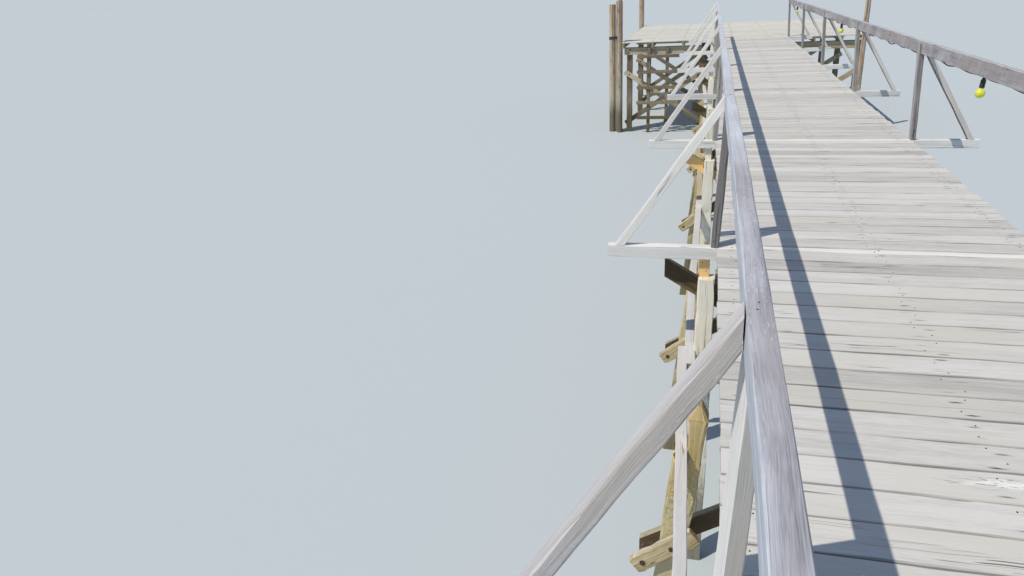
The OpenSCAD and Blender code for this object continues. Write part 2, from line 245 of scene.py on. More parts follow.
    def made_into(self, name, finishes, slot, node):
        """The finished piece, fixed to the jetty in place of the CAD node that it stands for."""
        mesh = bpy.data.meshes.new(name)
        mesh.from_pydata(in_metres(np.vstack(self.points)).tolist(), [], self.faces)
        for finish in finishes:
            mesh.materials.append(finish)
        mesh.polygons.foreach_set("material_index", self.finish)
        for kept, kind, domain, field, values in (
                ("grain", "FLOAT_VECTOR", "CORNER", "vector", np.array(self.grain).ravel()),
                ("tone", "FLOAT", "POINT", "value", np.concatenate(self.tone)),
                ("check", "FLOAT", "POINT", "value", np.concatenate(self.check))):
            mesh.attributes.new(kept, kind, domain).data.foreach_set(field, values.astype(np.float32))
        mesh.update()
        piece = bpy.data.objects.new(name, mesh)
        bpy.context.scene.collection.objects.link(piece)
        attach(piece, "root")
        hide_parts(node)
        return piece


def colour(red, green, blue):
    """A colour read off, 0 to 255, made linear."""
    linear = (((c / 255 + 0.055) / 1.055) ** 2.4 if c > 10 else c / 255 / 12.92 for c in (red, green, blue))
    return (*linear, 1.0)


def dimmed(tint, share):
    """The same colour with only a share of its light."""
    return (*(c * share for c in tint[:3]), 1.0)


class Finish:
    """A finish, put together from nodes."""

    def __init__(self, name):
        self.material = bpy.data.materials.new(name)
        self.material.use_nodes = True
        self.tree = self.material.node_tree
        self.surface = self.tree.nodes["Principled BSDF"]

    def feed(self, socket, value):
        if isinstance(value, bpy.types.NodeSocket):
            self.tree.links.new(value, socket)
        else:
            socket.default_value = value

    def node(self, kind, *values):
        """A new node of a kind, with its first inputs fed."""
        node = self.tree.nodes.new("ShaderNode" + kind)
        for socket, value in zip(node.inputs, values):
            self.feed(socket, value)
        return node

    def math(self, operation, *values):
        node = self.node("Math", *values)
        node.operation = operation
        return node.outputs[0]

    def plus(self, one, two):
        return self.math("ADD", one, two)

    def less(self, value, taken):
        return self.math("SUBTRACT", value, taken)

    def times(self, one, two):
        return self.math("MULTIPLY", one, two)

    def scaled(self, value, by, plus):
        return self.math("MULTIPLY_ADD", value, by, plus)

    def vector(self, operation, *values):
        node = self.node("VectorMath", *values)
        node.operation = operation
        return node.outputs["Value" if operation in ("LENGTH", "DOT_PRODUCT") else "Vector"]

    def kept(self, name, output="Fac"):
        """What the mesh keeps under a name."""
        node = self.node("Attribute")
        node.attribute_name = name
        return node.outputs[output]

    def geometry(self, output):
        return self.node("NewGeometry").outputs[output]

    def parts(self, vector):
        return self.node("SeparateXYZ", vector).outputs

    def joined(self, x, y, z):
        return self.node("CombineXYZ", x, y, z).outputs[0]

    def noise(self, vector, by, detail=3.0, roughness=0.55):
        """Noise whose fineness is by, along each way."""
        node = self.node("TexNoise")
        self.feed(node.inputs["Vector"], self.vector("MULTIPLY", vector, by))
        for name, value in (("Scale", 1.0), ("Detail", detail), ("Roughness", roughness)):
            node.inputs[name].default_value = value
        return node.outputs[0]

    def soft(self, value, low, high, to_low=0.0, to_high=1.0):
        """A soft step up, from to_low at low to to_high at high."""
        node = self.node("MapRange", value, low, high, to_low, to_high)
        node.interpolation_type = "SMOOTHSTEP"
        return node.outputs[0]

    def fades(self, value, low, high):
        """A soft step down, from 1 at low to 0 at high."""
        return self.less(1.0, self.soft(value, low, high))

    def blend(self, share, below, above):
        node = self.node("Mix", share)
        node.data_type = "RGBA"
        self.feed(node.inputs[6], below)
        self.feed(node.inputs[7], above)
        return node.outputs[2]

    def paint(self, base, roughness, specular=0.5):
        """The colour and the shine of the surface."""
        for name, value in (("Base Color", base), ("Roughness", roughness), ("Specular IOR Level", specular)):
            self.feed(self.surface.inputs[name], value)

    def bump(self, height, distance):
        node = self.node("Bump")
        node.inputs["Strength"].default_value = 1.0
        node.inputs["Distance"].default_value = distance
        self.feed(node.inputs["Height"], height)
        self.feed(self.surface.inputs["Normal"], node.outputs[0])


def painted_side_light(way, tint, amount):
    """Painted light and shade on the faces that look one way: a tint, paler where the light falls on them and
    darker where they lie in shade, over some real bleaching by sun and rain.
    """
    def lay(f):
        uneven = f.scaled(f.plus(f.band, f.fibre), 0.35, -0.35)
        where = f.soft(f.plus(f.vector("DOT_PRODUCT", f.geometry("Normal"), way), uneven), 0.45, 0.8)
        lit = f.blend(f.times(f.shade, 0.8), dimmed(colour(*tint), 0.62), colour(*tint))
        f.base = f.blend(f.times(where, amount), f.base, lit)
    return lay


def knots(amount):
    """Round dark knots here and there, more of them with a greater amount."""
    def lay(f):
        spots = f.node("TexVoronoi")
        f.feed(spots.inputs["Vector"], f.vector("MULTIPLY", f.grain, (1.1, 6.5, 3.0)))
        spots.inputs["Scale"].default_value = 1.0
        rarest = 1.0 - 0.4 * amount
        picked = f.soft(f.parts(spots.outputs["Color"])[0], rarest, rarest + 0.02)
        near = f.fades(spots.outputs["Distance"], 0.03, 0.12)
        f.base = f.blend(f.times(f.times(near, picked), 0.7), f.base, dimmed(f.dark, 0.6))
    return lay


def crust(whole, gone, tint):
    """Salt and shell on the lower part, thick at one height and gone at another, both in
    metres over the waterline, and a dark olive tint from the waterline up to about a metre."""
    def lay(f):
        place = f.geometry("Position")
        level = f.parts(place)[2]
        lumps = f.noise(place, (38.0, 38.0, 26.0), 4.0, 0.65)
        low = f.fades(level, whole, gone)
        scale = f.times(f.soft(f.scaled(low, 0.45, lumps), 0.66, 0.84), 0.8)
        f.base = f.blend(scale, f.base, colour(*tint))
        low_dark = f.fades(f.scaled(lumps, 0.5, level), 0.7, 1.25)
        f.base = f.blend(f.times(low_dark, 0.75), f.base, colour(84, 80, 58))
        f.height = f.scaled(scale, 1.6, f.height)
    return lay


def weathered(name, pale, dark, warm, *layers, bands=0.8, fibres=0.5, blotches=0.5, cracks=0.6,
              relief=0.0025):
    """Sun-bleached sawn timber, whose fibres, bands and cracks run along each stick. Each of
    the layers lays one more mark over it: most are wear, and the side tints are painted light and shade."""
    f = Finish(name)
    f.dark = colour(*dark)
    f.grain = f.kept("grain", "Vector")
    f.u, f.v, f.seed = f.parts(f.grain)
    drift = f.scaled(f.noise(f.grain, (1.7, 5.0, 1.0), 1.0), 0.030, -0.015)
    f.curly = f.joined(f.u, f.plus(f.v, drift), f.seed)
    f.fibre = f.noise(f.curly, (5.0, 330.0, 3.0), 2.0)
    f.band = f.noise(f.curly, (1.8, 76.0, 3.0), 3.0)
    f.streak = f.noise(f.curly, (0.55, 21.0, 5.0), 2.0)
    hair = f.noise(f.curly, (17.0, 560.0, 5.0), 1.0)
    blotch = f.noise(f.grain, (3.1, 7.5, 2.0), 4.0, 0.6)
    shade = f.times(f.kept("tone"), 0.5)
    for field, low, share in ((f.band, 0.32, 0.34 * bands), (f.streak, 0.3, 0.36 * bands),
                              (f.fibre, 0.3, 0.20 * fibres), (hair, 0.35, 0.24 * fibres),
                              (blotch, 0.3, 0.5 * blotches)):
        shade = f.scaled(f.soft(field, low, 1 - low), share, shade)
    f.shade = f.plus(shade, 0.66 - 0.35 * bands - 0.22 * fibres - 0.25 * blotches)
    f.shade.node.use_clamp = True
    f.base = f.blend(f.shade, f.dark, colour(*pale))
    spread = f.joined(f.times(f.u, 0.7), f.times(f.v, 2.5), f.times(f.seed, 9.7))
    warmth = f.noise(spread, (1.0, 1.0, 1.0), 2.0)
    f.base = f.blend(f.soft(warmth, 0.42, 0.7, 0.0, 0.7), f.base, colour(*warm))
    f.height = f.scaled(f.band, 0.6, f.times(f.fibre, 0.5))
    for lay in layers:
        lay(f)
    crack_field = f.noise(f.curly, (1.2, 48.0, 4.0), 1.5)
    crack_line = f.fades(f.math("ABSOLUTE", f.less(crack_field, 0.5)), 0.003, 0.016)
    crack_where = f.soft(f.noise(f.grain, (1.1, 14.0, 7.0), 2.0), 0.66 - 0.2 * cracks, 0.72 - 0.2 * cracks)
    crack = f.times(crack_line, crack_where)
    # Dark crack lines, and painted shade down in the sunk checks.
    lines = f.math("MAXIMUM", f.times(crack, 0.85), f.times(f.kept("check"), 0.8))
    f.paint(f.blend(lines, f.base, dimmed(f.dark, 0.28)), f.scaled(f.shade, 0.08, 0.82), 0.25)
    f.bump(f.less(f.height, f.times(crack, 1.4)), relief)
    return f.material


def end_grain(name, pale, dark, split=0.8):
    """The sawn ends: rings about an off-centre heart, split by the sun."""
    f = Finish(name)
    grain = f.kept("grain", "Vector")
    x, y, seed = f.parts(grain)
    off = f.noise(f.joined(seed, 3.0, 1.0), (2.3, 1.0, 1.0), 0.0)
    heart = f.joined(f.scaled(off, 0.12, f.less(x, 0.06)), f.less(y, 0.05), 0.0)
    far = f.plus(f.vector("LENGTH", heart), f.times(f.noise(grain, (25.0, 25.0, 1.0), 2.0), 0.006))
    rings = f.math("SINE", f.times(far, 1150.0))
    splits = f.soft(f.noise(grain, (70.0, 24.0, 3.0), 2.0), 0.60, 0.66)
    base = f.blend(f.scaled(rings, 0.22, 0.55), colour(*dark), colour(*pale))
    f.paint(f.blend(f.times(splits, split), base, dimmed(colour(*dark), 0.3)), 0.92, 0.2)
    f.bump(f.less(rings, f.times(splits, 4.0)), 0.0006)
    return f.material


def rusty(name, bright, dull):
    """Nail and bolt heads, once galvanised and now brown with rust."""
    f = Finish(name)
    patch = f.noise(f.geometry("Position"), (140.0, 140.0, 140.0), 3.0, 0.6)
    base = f.blend(f.soft(patch, 0.35, 0.65), colour(*dull), colour(*bright))
    f.paint(base, f.soft(patch, 0.3, 0.7, 0.6, 0.9))
    f.surface.inputs["Metallic"].default_value = 0.35
    f.bump(patch, 0.0008)
    return f.material


rust = rusty("rusted_fixings", (112, 84, 66), (60, 47, 42))
# The piles' left faces, where the light falls, are painted paler.
pile_cream = [
    weathered("pile_cream", (255, 254, 244), (240, 235, 216), (248, 240, 218),
              painted_side_light((-1, 0, 0), (250, 250, 244), 0.7), knots(0.5), crust(0.7, 2.0, (236, 233, 222)),
              bands=0.55, blotches=0.6, cracks=0.35, relief=0.004),
    end_grain("pile_cream_ends", (252, 250, 234), (236, 230, 206), 0.15), rust]

for (side, place, _), seed in zip(SIDES, (11, 12)):
    piles = Lot(seed)
    x = place(-PILE_SIDE / 2)
    for y in STATIONS:
        piles.stick((x, y, WATERLINE), (x, y, PILE_TOP), PILE_SIDE, PILE_SIDE, ALONG_X,
                    cut_start=FOOT_CUT, arris=7, uneven=4.5, checks=0.3, check_deep=7,
                    step=110, tone=piles.rng.normal(0.1, 0.2), rough=1.2, taper=PILE_TAPER,
                    bow=(piles.rng.normal(0, 4), piles.rng.normal(0, 4)))
    piles.made_into(f"piles_{side}_timber", pile_cream, "pile_timber", f"piles_{side}")

# Station caps and diagonals
# A thick softwood cap is cut in between each pair of piles and bolted through them,
# with one plank bolted on slantwise behind. Most have gone brown, and are painted darker still as shade; one
# is new pine.

CAP_THICK, CAP_DEEP, CAP_Z = 70, 150, -245
ALONG_Y = (0, 1, 0)
# trestle_dark is dark brown, partly the timber's weathered colour and partly shade painted in for the parts
# under the deck; its tops are painted paler where the light falls.
trestle_dark = [
    weathered("trestle_dark", (112, 101, 86), (58, 51, 44), (98, 80, 58),
              painted_side_light((0, 0, 1), (214, 206, 182), 0.75), knots(0.5), crust(0.4, 1.4, (132, 126, 108)),
              blotches=0.8),
    end_grain("trestle_dark_ends", (150, 136, 112), (86, 74, 58)), rust]
caps = Lot(21)
for y in STATIONS:
    caps.stick((0.5, y, CAP_Z), (DECK_WIDE - 0.5, y, CAP_Z), CAP_THICK, CAP_DEEP, ALONG_Y, arris=5,
               uneven=1.2, tone=caps.rng.normal(0, 0.3))
    for _, place, out in SIDES:
        for dy, dz in ((0, -38), (9, 36)):
            at = (place(6 - PILE_SIDE), y + dy, CAP_Z + dz)
            caps.fixing(at, (out, 0, 0), radius=10, stands=9, washer=22)
caps.made_into("station_caps_timber", trestle_dark, "trestle_timber", "station_caps")

PLANK_THICK, PLANK_WIDE, PLANK_OFF = 45, 115, 80
DIAGONAL_START, DIAGONAL_END = (-315, -182), (2100, -1631)
DIAGONAL_BOLTS = -57
NEW_PLANK_AT = STATIONS[2]


def plumb_cut(x):
    """A saw cut plumb, square to the width of the walkway."""
    return ((x, 0, 0), (1, 0, 0))


new_pine = [
    weathered("new_pine", (248, 208, 142), (226, 172, 104), (250, 216, 158), knots(0.8),
              bands=0.7, blotches=0.3, cracks=0.15),
    end_grain("new_pine_ends", (232, 182, 108), (190, 128, 62)), rust]
# old_pine is dark brown, partly weathered and partly shade painted in under the cross timbers; its tops are
# painted paler where the light falls.
old_pine = [
    weathered("old_pine", (132, 118, 90), (74, 63, 46), (110, 88, 56),
              painted_side_light((0, 0, 1), (196, 184, 150), 0.6), knots(0.5), blotches=0.8),
    end_grain("old_pine_ends", (176, 152, 112), (110, 90, 62))]
diagonals = Lot(22)
(x0, z0), (x1, z1) = DIAGONAL_START, DIAGONAL_END
for y in STATIONS:
    mid_y, new = y + PLANK_OFF, y == NEW_PLANK_AT
    diagonals.stick((x0, mid_y, z0), (x1, mid_y, z1), PLANK_THICK, PLANK_WIDE, ALONG_Y,
                    cut_start=plumb_cut(x0 - 10), arris=3, uneven=1.0, checks=0.5,
                    tone=diagonals.rng.normal(0, 0.2) - (0 if new else 0.5), finish=(0, 1) if new else (3, 4))
    for _, place, _ in SIDES:
        for dx in (-24, 22):
            x = place(DIAGONAL_BOLTS) + dx
            z = z0 + (x - x0) * (z1 - z0) / (x1 - x0) + dx * 0.6
            diagonals.fixing((x, mid_y + PLANK_THICK / 2, z), ALONG_Y, radius=9, stands=8, washer=19)
diagonals.made_into("station_diagonals_timber", new_pine + old_pine, "new_timber", "station_diagonals")

# Packing blocks
# Short softwood offcuts make up the height between each pile top and the cross
# timber on it, nailed in from the near side. One pair is renewed in orange pine.

BLOCK_X, BLOCK_Y, BLOCK_TOP = -71.5, 29.75, -80
BLOCK_WIDE, BLOCK_DEEP = 67, 55.5
NEW_BLOCKS_AT = STATIONS[1]
blocks = Lot(23)
for y in STATIONS:
    for _, place, _ in SIDES:
        x, mid_y = place(BLOCK_X), y + BLOCK_Y
        blocks.stick((x, mid_y, PILE_TOP), (x, mid_y, BLOCK_TOP), BLOCK_WIDE, BLOCK_DEEP, ALONG_X, arris=2.5,
                     uneven=0.8, checks=0.2, step=60, tone=blocks.rng.normal(0, 0.3),
                     finish=(0, 1) if y == NEW_BLOCKS_AT else (3, 4))
    for _, place, _ in SIDES:
        for dx, z, tip in ((-12, -112, 0.2), (14, -168, -0.2)):
            at = (place(BLOCK_X) + dx, y + BLOCK_Y - BLOCK_DEEP / 2, z)
            blocks.fixing(at, (0, -1, tip), radius=4, stands=1.5)
blocks.made_into("packing_blocks", new_pine + pile_cream[:2], "new_timber", "outrigger_blocks")

# Raking trestles
# Between stations a pair of squared softwood piles rakes outward to the foot. Each head
# is hewn to a point, and cut back on the outside so that the waling sits on a shoulder.
# A cap let in between the two carries the stringers.

TRESTLES = [2800, 5360, 9110, 12365, 15860, 19175]
RAKE = 0.1
RAKER_WIDE = 150
RAKER_OUT = 16
CAP_INSET = 30
RAKER_TOP, RAKER_NECK, RAKER_SEAT = -460, -545, -820


def flecks(amount):
    """Short pale flecks, where the weather has lifted the fibres."""
    def lay(f):
        fleck = f.times(f.soft(f.noise(f.curly, (34.0, 330.0, 6.0), 1.0), 0.63, 0.72),
                        f.soft(f.noise(f.grain, (2.0, 14.0, 1.0), 1.0), 0.42, 0.6))
        f.base = f.blend(f.times(fleck, amount), f.base, colour(226, 226, 232))
    return lay


# The rakers' left faces, where the light falls, are painted paler.
raker_tan = [
    weathered("raker_tan", (230, 211, 158), (176, 153, 104), (208, 168, 108),
              painted_side_light((-1, 0, 0), (232, 222, 190), 0.6), knots(0.5), flecks(0.9),
              crust(0.9, 2.1, (206, 196, 160)), bands=0.6, blotches=1.0, cracks=0.4, relief=0.004),
    end_grain("raker_tan_ends", (200, 180, 132), (128, 104, 66)), rust]


def raker_x(z):
    """The middle of a raking pile at a height."""
    return -RAKER_OUT - RAKER_WIDE / 2 + (z - RAKER_NECK) * RAKE


slant = math.sqrt(1 + RAKE * RAKE)
seat, neck, top = ((z - WATERLINE) * slant for z in (RAKER_SEAT, RAKER_NECK, RAKER_TOP))
for (side, place, _), seed, outer, inner in zip(SIDES, (31, 32), (3, 1), (1, 3)):
    rakers = Lot(seed)
    for y in TRESTLES:
        rakers.stick((place(raker_x(WATERLINE)), y, WATERLINE), (place(raker_x(RAKER_TOP)), y, RAKER_TOP),
                     RAKER_WIDE, PILE_SIDE, ALONG_X, cut_start=FOOT_CUT,
                     cut_end=level_cut(RAKER_TOP - 1), arris=9, uneven=3.5, checks=0.8, check_deep=8,
                     step=120, tone=rakers.rng.normal(0, 0.3), rough=1.6,
                     taper=[(0, 1, 1), (neck, 1, 1), (top, 1, 0.72)],
                     notches=[(seat, neck, outer, (78, 51)), (neck, top + 5, outer, (51, 84)),
                              (neck, top + 5, inner, (0, 47))])
    rakers.made_into(f"rakers_{side}_timber", raker_tan, "raker_timber", f"rakers_{side}")

trestle_caps = Lot(33)
for y in TRESTLES:
    trestle_caps.stick((CAP_INSET, y, CAP_Z), (across(CAP_INSET), y, CAP_Z), PILE_SIDE, CAP_DEEP, ALONG_Y,
                       arris=5, uneven=1.2, tone=trestle_caps.rng.normal(0, 0.3))
trestle_caps.made_into("trestle_caps_timber", trestle_dark, "trestle_timber", "trestle_caps")

# Sway braces and cleats
# Two long softwood planks cross on either face of each trestle, and a short cleat backs
# each one at the raking pile, clasping it. Bolts go right through near the tips.

SWAY_TIP, SWAY_HEAD, SWAY_SLOPE = (-360, -1517.5), 1543, 0.65
CLEAT_CORNER, CLEAT_LONG, CLEAT_LEAN = (-350, -1575), 420, math.radians(38)
sway = Lot(34)
tip_x, tip_z = SWAY_TIP
head_z = tip_z + (SWAY_HEAD - tip_x) * SWAY_SLOPE
for y in TRESTLES:
    for _, place, out in SIDES:
        mid_y = y - out * PLANK_OFF
        sway.stick((place(tip_x), mid_y, tip_z), (place(SWAY_HEAD), mid_y, head_z), PLANK_THICK, PLANK_WIDE,
                   ALONG_Y, cut_start=plumb_cut(place(tip_x - 10)), cut_end=plumb_cut(place(SWAY_HEAD)),
                   arris=4, uneven=1.2, tone=sway.rng.normal(-0.1, 0.25))
        for x in (-215, -175):
            at = (place(x), mid_y - out * PLANK_THICK / 2, tip_z + (x - tip_x) * SWAY_SLOPE)
            sway.fixing(at, (0, -out, 0), radius=9, stands=8, washer=20)
sway.made_into("sway_braces_timber", trestle_dark, "trestle_timber", "sway_braces")

# The cleats' tops, where the light falls, are painted paler.
cleat_finish = [
    weathered("cleat_yellow_brown", (226, 211, 172), (150, 130, 94), (196, 168, 120),
              painted_side_light((0, 0, 1), (240, 235, 216), 0.8), knots(0.5), flecks(0.6),
              bands=0.7, blotches=1.0, cracks=0.8),
    end_grain("cleat_ends", (206, 186, 138), (120, 98, 62)), rust]
cleats = Lot(35)
along = np.array((math.cos(CLEAT_LEAN), math.sin(CLEAT_LEAN)))
foot = np.array(CLEAT_CORNER) + PLANK_WIDE / 2 * np.array((-math.sin(CLEAT_LEAN), math.cos(CLEAT_LEAN)))
head = foot + CLEAT_LONG * along
for y in TRESTLES:
    for _, place, out in SIDES:
        mid_y = y + out * PLANK_OFF
        cleats.stick((place(foot[0]), mid_y, foot[1]), (place(head[0]), mid_y, head[1]), PLANK_THICK,
                     PLANK_WIDE, ALONG_Y, arris=8, uneven=3, checks=0.7, step=50, rough=1.8,
                     tone=cleats.rng.normal(0, 0.25),
                     taper=[(0, 1, 0.8), (35, 1, 1), (CLEAT_LONG - 40, 1, 1), (CLEAT_LONG, 0.9, 0.85)])
        for share in (0.14, 0.62):
            x, z = foot + CLEAT_LONG * share * along
            at = (place(x), mid_y + out * PLANK_THICK / 2, z)
            cleats.fixing(at, (0, out, 0), radius=8, stands=8, washer=17)
cleats.made_into("sway_cleats_timber", cleat_finish, "raker_timber", "sway_cleats")

# Walings
# A run of long sawn timbers down each side ties the piles and the raking piles together.
# Each length is sprung out past the next one's end, and the two are bolted.

WALING_X, WALING_Z, WALING_WIDE, WALING_DEEP = -146, -770, 62, 100
WALING_ENDS = [0, *STATIONS[1::2], 21320]
LAP, SPRING, SHORE_GAP = 250, 2000, 2.5
NEAR_BENT = {0: [(0, -39), (270, -36), (1420, 5), (1700, 13), (2062, 26), (2500, 18), (2950, 0)],
             STATIONS[1]: [(0, -62.5), (270, -62.5), (2270, 0), (5000, 0), (5300, -9), (6300, -3),
                           (6700, 3), (7030, 20)]}


def paler_end(till, fully, tint):
    """The seaward end of a length in another tint: none of it from one place on, in metres
    back from that end, and all of it from another."""
    def lay(f):
        paler = f.blend(f.shade, dimmed(colour(*tint), 0.66), colour(*tint))
        f.base = f.blend(f.soft(f.scaled(f.streak, 0.6, f.u), till + 0.3, fully + 0.3), f.base, paler)
    return lay


waling_grey = [
    weathered("waling_grey", (230, 231, 238), (182, 182, 189), (214, 211, 208), knots(0.5), flecks(0.5),
              bands=0.6, blotches=0.4, cracks=0.25),
    end_grain("waling_grey_ends", (206, 196, 176), (138, 124, 104)), rust,
    weathered("waling_tan_end", (226, 226, 230), (178, 177, 182), (211, 207, 203),
              paler_end(3.3, 2.9, (206, 192, 166)), knots(0.5), flecks(0.5),
              bands=0.6, blotches=0.5, cracks=0.25)]


def waling_bend(side, y0, y1, out):
    """How far out of line a length is, by how far back it is from its seaward end."""
    if side == "left" and y0 in NEAR_BENT:
        return NEAR_BENT[y0]
    if y1 == WALING_ENDS[-1]:
        return [(0, 0), (1, 0)]
    sprung = out * (WALING_WIDE + 0.5)
    return [(0, sprung), (LAP + 20, sprung), (LAP + 20 + SPRING, 0)]


for (side, place, out), seed in zip(SIDES, (41, 42)):
    walings = Lot(seed)
    x = place(WALING_X)
    outermost = {}
    for y0, y1 in zip(WALING_ENDS, WALING_ENDS[1:]):
        near = y0 - LAP if y0 else SHORE_GAP
        bend = waling_bend(side, y0, y1, out)
        tan_end = (side, y0) == ("left", STATIONS[1])
        walings.stick((x, y1 - 1, WALING_Z), (x, near, WALING_Z), WALING_WIDE, WALING_DEEP, ALONG_X, arris=4,
                      uneven=1.2, step=260, sprung=bend, tone=walings.rng.normal(0.05, 0.25), checks=0.2,
                      finish=(3, 1) if tan_end else (0, 1))
        for y in STATIONS + TRESTLES:
            if near < y < y1:
                outermost[y] = max(outermost.get(y, -99), out * np.interp(y1 - 1 - y, *zip(*bend)))
    for y, shift in outermost.items():
        face_x = x + out * (WALING_WIDE / 2 + shift)
        for dz in (-24, 22):
            walings.fixing((face_x, y + dz * 0.7, WALING_Z + dz), (out, 0, 0), radius=9, stands=8, washer=18)
    walings.made_into(f"waling_{side}_timber", waling_grey, "waling_timber", f"waling_{side}")

# Stringers
# Three runs of sawn joist on edge carry the boards, butted over every second cap.
# The cross timbers run across their tops, flush with the deck.

STRINGERS = dict(left=115, centre=DECK_WIDE / 2, right=across(115))
STRINGER_ENDS = [0, *STATIONS[1::2], 21756.5]
JOIST_WIDE, JOIST_DEEP, JOIST_Z = 60, 140, -100
stringer_brown = [
    weathered("stringer_brown", (166, 154, 138), (106, 96, 84), (146, 122, 92), knots(0.5), blotches=0.7),
    end_grain("stringer_brown_ends", (176, 160, 134), (104, 90, 70)), rust]
for seed, (name, x) in enumerate(STRINGERS.items(), 51):
    joists = Lot(seed)
    for y0, y1 in zip(STRINGER_ENDS, STRINGER_ENDS[1:]):
        joists.stick((x, y0 + 2, JOIST_Z), (x, y1 - 1, JOIST_Z), JOIST_WIDE, JOIST_DEEP, ALONG_X, arris=3,
                     uneven=1.0, step=300, tone=joists.rng.normal(0, 0.25))
    joists.made_into(f"stringer_{name}_timber", stringer_brown, "stringer_timber", f"stringer_{name}")

# Cross timbers
# Seven long sawn timbers lie across the stringers, nailed, flush with the boards, and
# reach out past both edges as outriggers for the handrail braces. Bleached near white.

CROSS_TIPS, CROSS_WIDE, CROSS_DEEP = (-690, 2455), 65, 80
CROSS_NAILS = (108, 934, 1746)
UP = (0, 0, 1)
# The cross timbers' near faces, where the light falls, are painted paler.
bleached = [
    weathered("cross_timber_bleached", (244, 244, 242), (208, 208, 209), (232, 228, 219),
              painted_side_light((0, -1, 0), (255, 255, 253), 0.9), knots(0.4), bands=0.6, blotches=0.4, cracks=0.35),
    end_grain("cross_timber_ends", (238, 234, 224), (188, 180, 166)), rust]
cross_timbers = Lot(61)
for y in STATIONS:
    left_tip, right_tip = ((x, y, -CROSS_DEEP / 2) for x in CROSS_TIPS)
    cross_timbers.stick(left_tip, right_tip, CROSS_WIDE, CROSS_DEEP, ALONG_Y, arris=4, uneven=1.6, checks=0.4,
                        check_deep=5, step=160, tone=cross_timbers.rng.normal(0.1, 0.22), rough=0.7)
    for x in CROSS_NAILS:
        for off in (-14, 13):
            cross_timbers.fixing((x + off, y + off, 1.2), UP, radius=5, stands=1.5)
cross_timbers.made_into("cross_timbers", bleached, "outrigger_timber", "outriggers")

# Deck boards
# Softwood boards 30 mm thick are laid across the stringers, a few millimetres apart, with
# two nails to each stringer. No two are the same grey, and their ends are ragged.

BOARD, BOARD_PITCH = 30, 168
NAIL_LINES = list(STRINGERS.values())
NAIL_OFF = 42
RAGGED = 9.0
NAIL_STRAY = ((7.0, 34), (5.0, 18))
LINE_TURN, SIDE_TURN = 2.0, 1.3
SHORE_BOARDS = (2, 812)
OFF_CROSS = (37.5, 36.5)


def darker_board_edges(amount):
    """Darker along both edges of a board, more in some places than in others."""
    def lay(f):
        frayed = f.scaled(f.noise(f.curly, (7.0, 40.0, 9.0), 2.0), 0.010, f.math("ABSOLUTE", f.v))
        spot = f.joined(f.times(f.u, 1.6), f.math("SIGN", f.v), f.seed)
        uneven = f.soft(f.noise(spot, (1.0, 1.0, 3.0), 1.0), 0.35, 0.62, 0.25, 1.0)
        edge = f.times(f.soft(frayed, 0.0785, 0.0845, 0.0, amount), uneven)
        f.base = f.blend(edge, f.base, colour(96, 92, 88))
    return lay


def nail_stains(f):
    """The dark bleed along the grain about each nail, wherever the nail has strayed to."""
    reach = 9.0
    for k, line in enumerate(NAIL_LINES):
        phase = f.scaled(f.math("SIGN", f.v), SIDE_TURN, LINE_TURN * k)
        off_u, off_v = (f.times(f.math("SINE", f.scaled(f.seed, turn, phase)), most / 1000)
                        for turn, most in NAIL_STRAY)
        du = f.less(f.less(f.u, line / 1000), off_u)
        dv = f.less(f.less(f.math("ABSOLUTE", f.v), NAIL_OFF / 1000), off_v)
        reach = f.math("MINIMUM", f.vector("LENGTH", f.joined(f.times(du, 0.22), dv, 0.0)), reach)
    ragged = f.scaled(f.noise(f.curly, (24.0, 190.0, 5.0), 2.0), 0.014, reach)
    spot = f.joined(f.times(f.u, 2.0), f.times(f.v, 9.0), f.seed)
    strength = f.soft(f.noise(spot, (1.0, 1.0, 7.0), 0.0), 0.35, 0.65, 0.25, 0.95)
    f.base = f.blend(f.times(f.fades(ragged, 0.007, 0.0155), strength), f.base, colour(82, 77, 72))


def scar(middle, half, tint, amount):
    """A patch where the grey skin has come off, by its middle and half its size on the deck."""
    def lay(f):
        x, y, _ = f.parts(f.vector("SUBTRACT", f.geometry("Position"), tuple(in_metres((*middle, 0)))))
        x, y = f.math("DIVIDE", x, half[0] / 1000), f.math("DIVIDE", y, half[1] / 1000)
        off = f.vector("LENGTH", f.joined(x, y, 0.0))
        torn = f.scaled(f.noise(f.curly, (9.0, 150.0, 5.0), 3.0), 1.6, off)
        where = f.fades(torn, 1.1, 1.75)
        f.base = f.blend(f.times(where, amount), f.base, colour(*tint))
        flaked = f.noise(f.curly, (22.0, 120.0, 8.0), 2.0)
        flakes = f.times(where, f.soft(flaked, 0.58, 0.66, 0.0, amount))
        f.base = f.blend(flakes, f.base, colour(120, 118, 116))
        f.height = f.scaled(f.times(where, flaked), 2.5 * amount, f.height)
    return lay


deck_grey = [
    weathered("deck_board_grey", (219, 218, 217), (173, 172, 171), (208, 206, 199), knots(0.25),
              darker_board_edges(0.6), nail_stains, scar((950, 1665), (270, 40), (240, 240, 238), 1.0),
              scar((750, 2555), (70, 22), (216, 200, 196), 0.4),
              bands=0.6, fibres=1.3, blotches=0.4, cracks=0.2),
    end_grain("deck_board_ends", (232, 228, 220), (176, 170, 160)),
    rusty("sunk_nails", (96, 88, 82), (50, 46, 44))]


def astray(seed, line, side, way):
    """How far a board's nail misses its line, along the board (way 0) or across it (1)."""
    turn, most = NAIL_STRAY[way]
    return most * math.sin(seed * turn + LINE_TURN * line + SIDE_TURN * side)


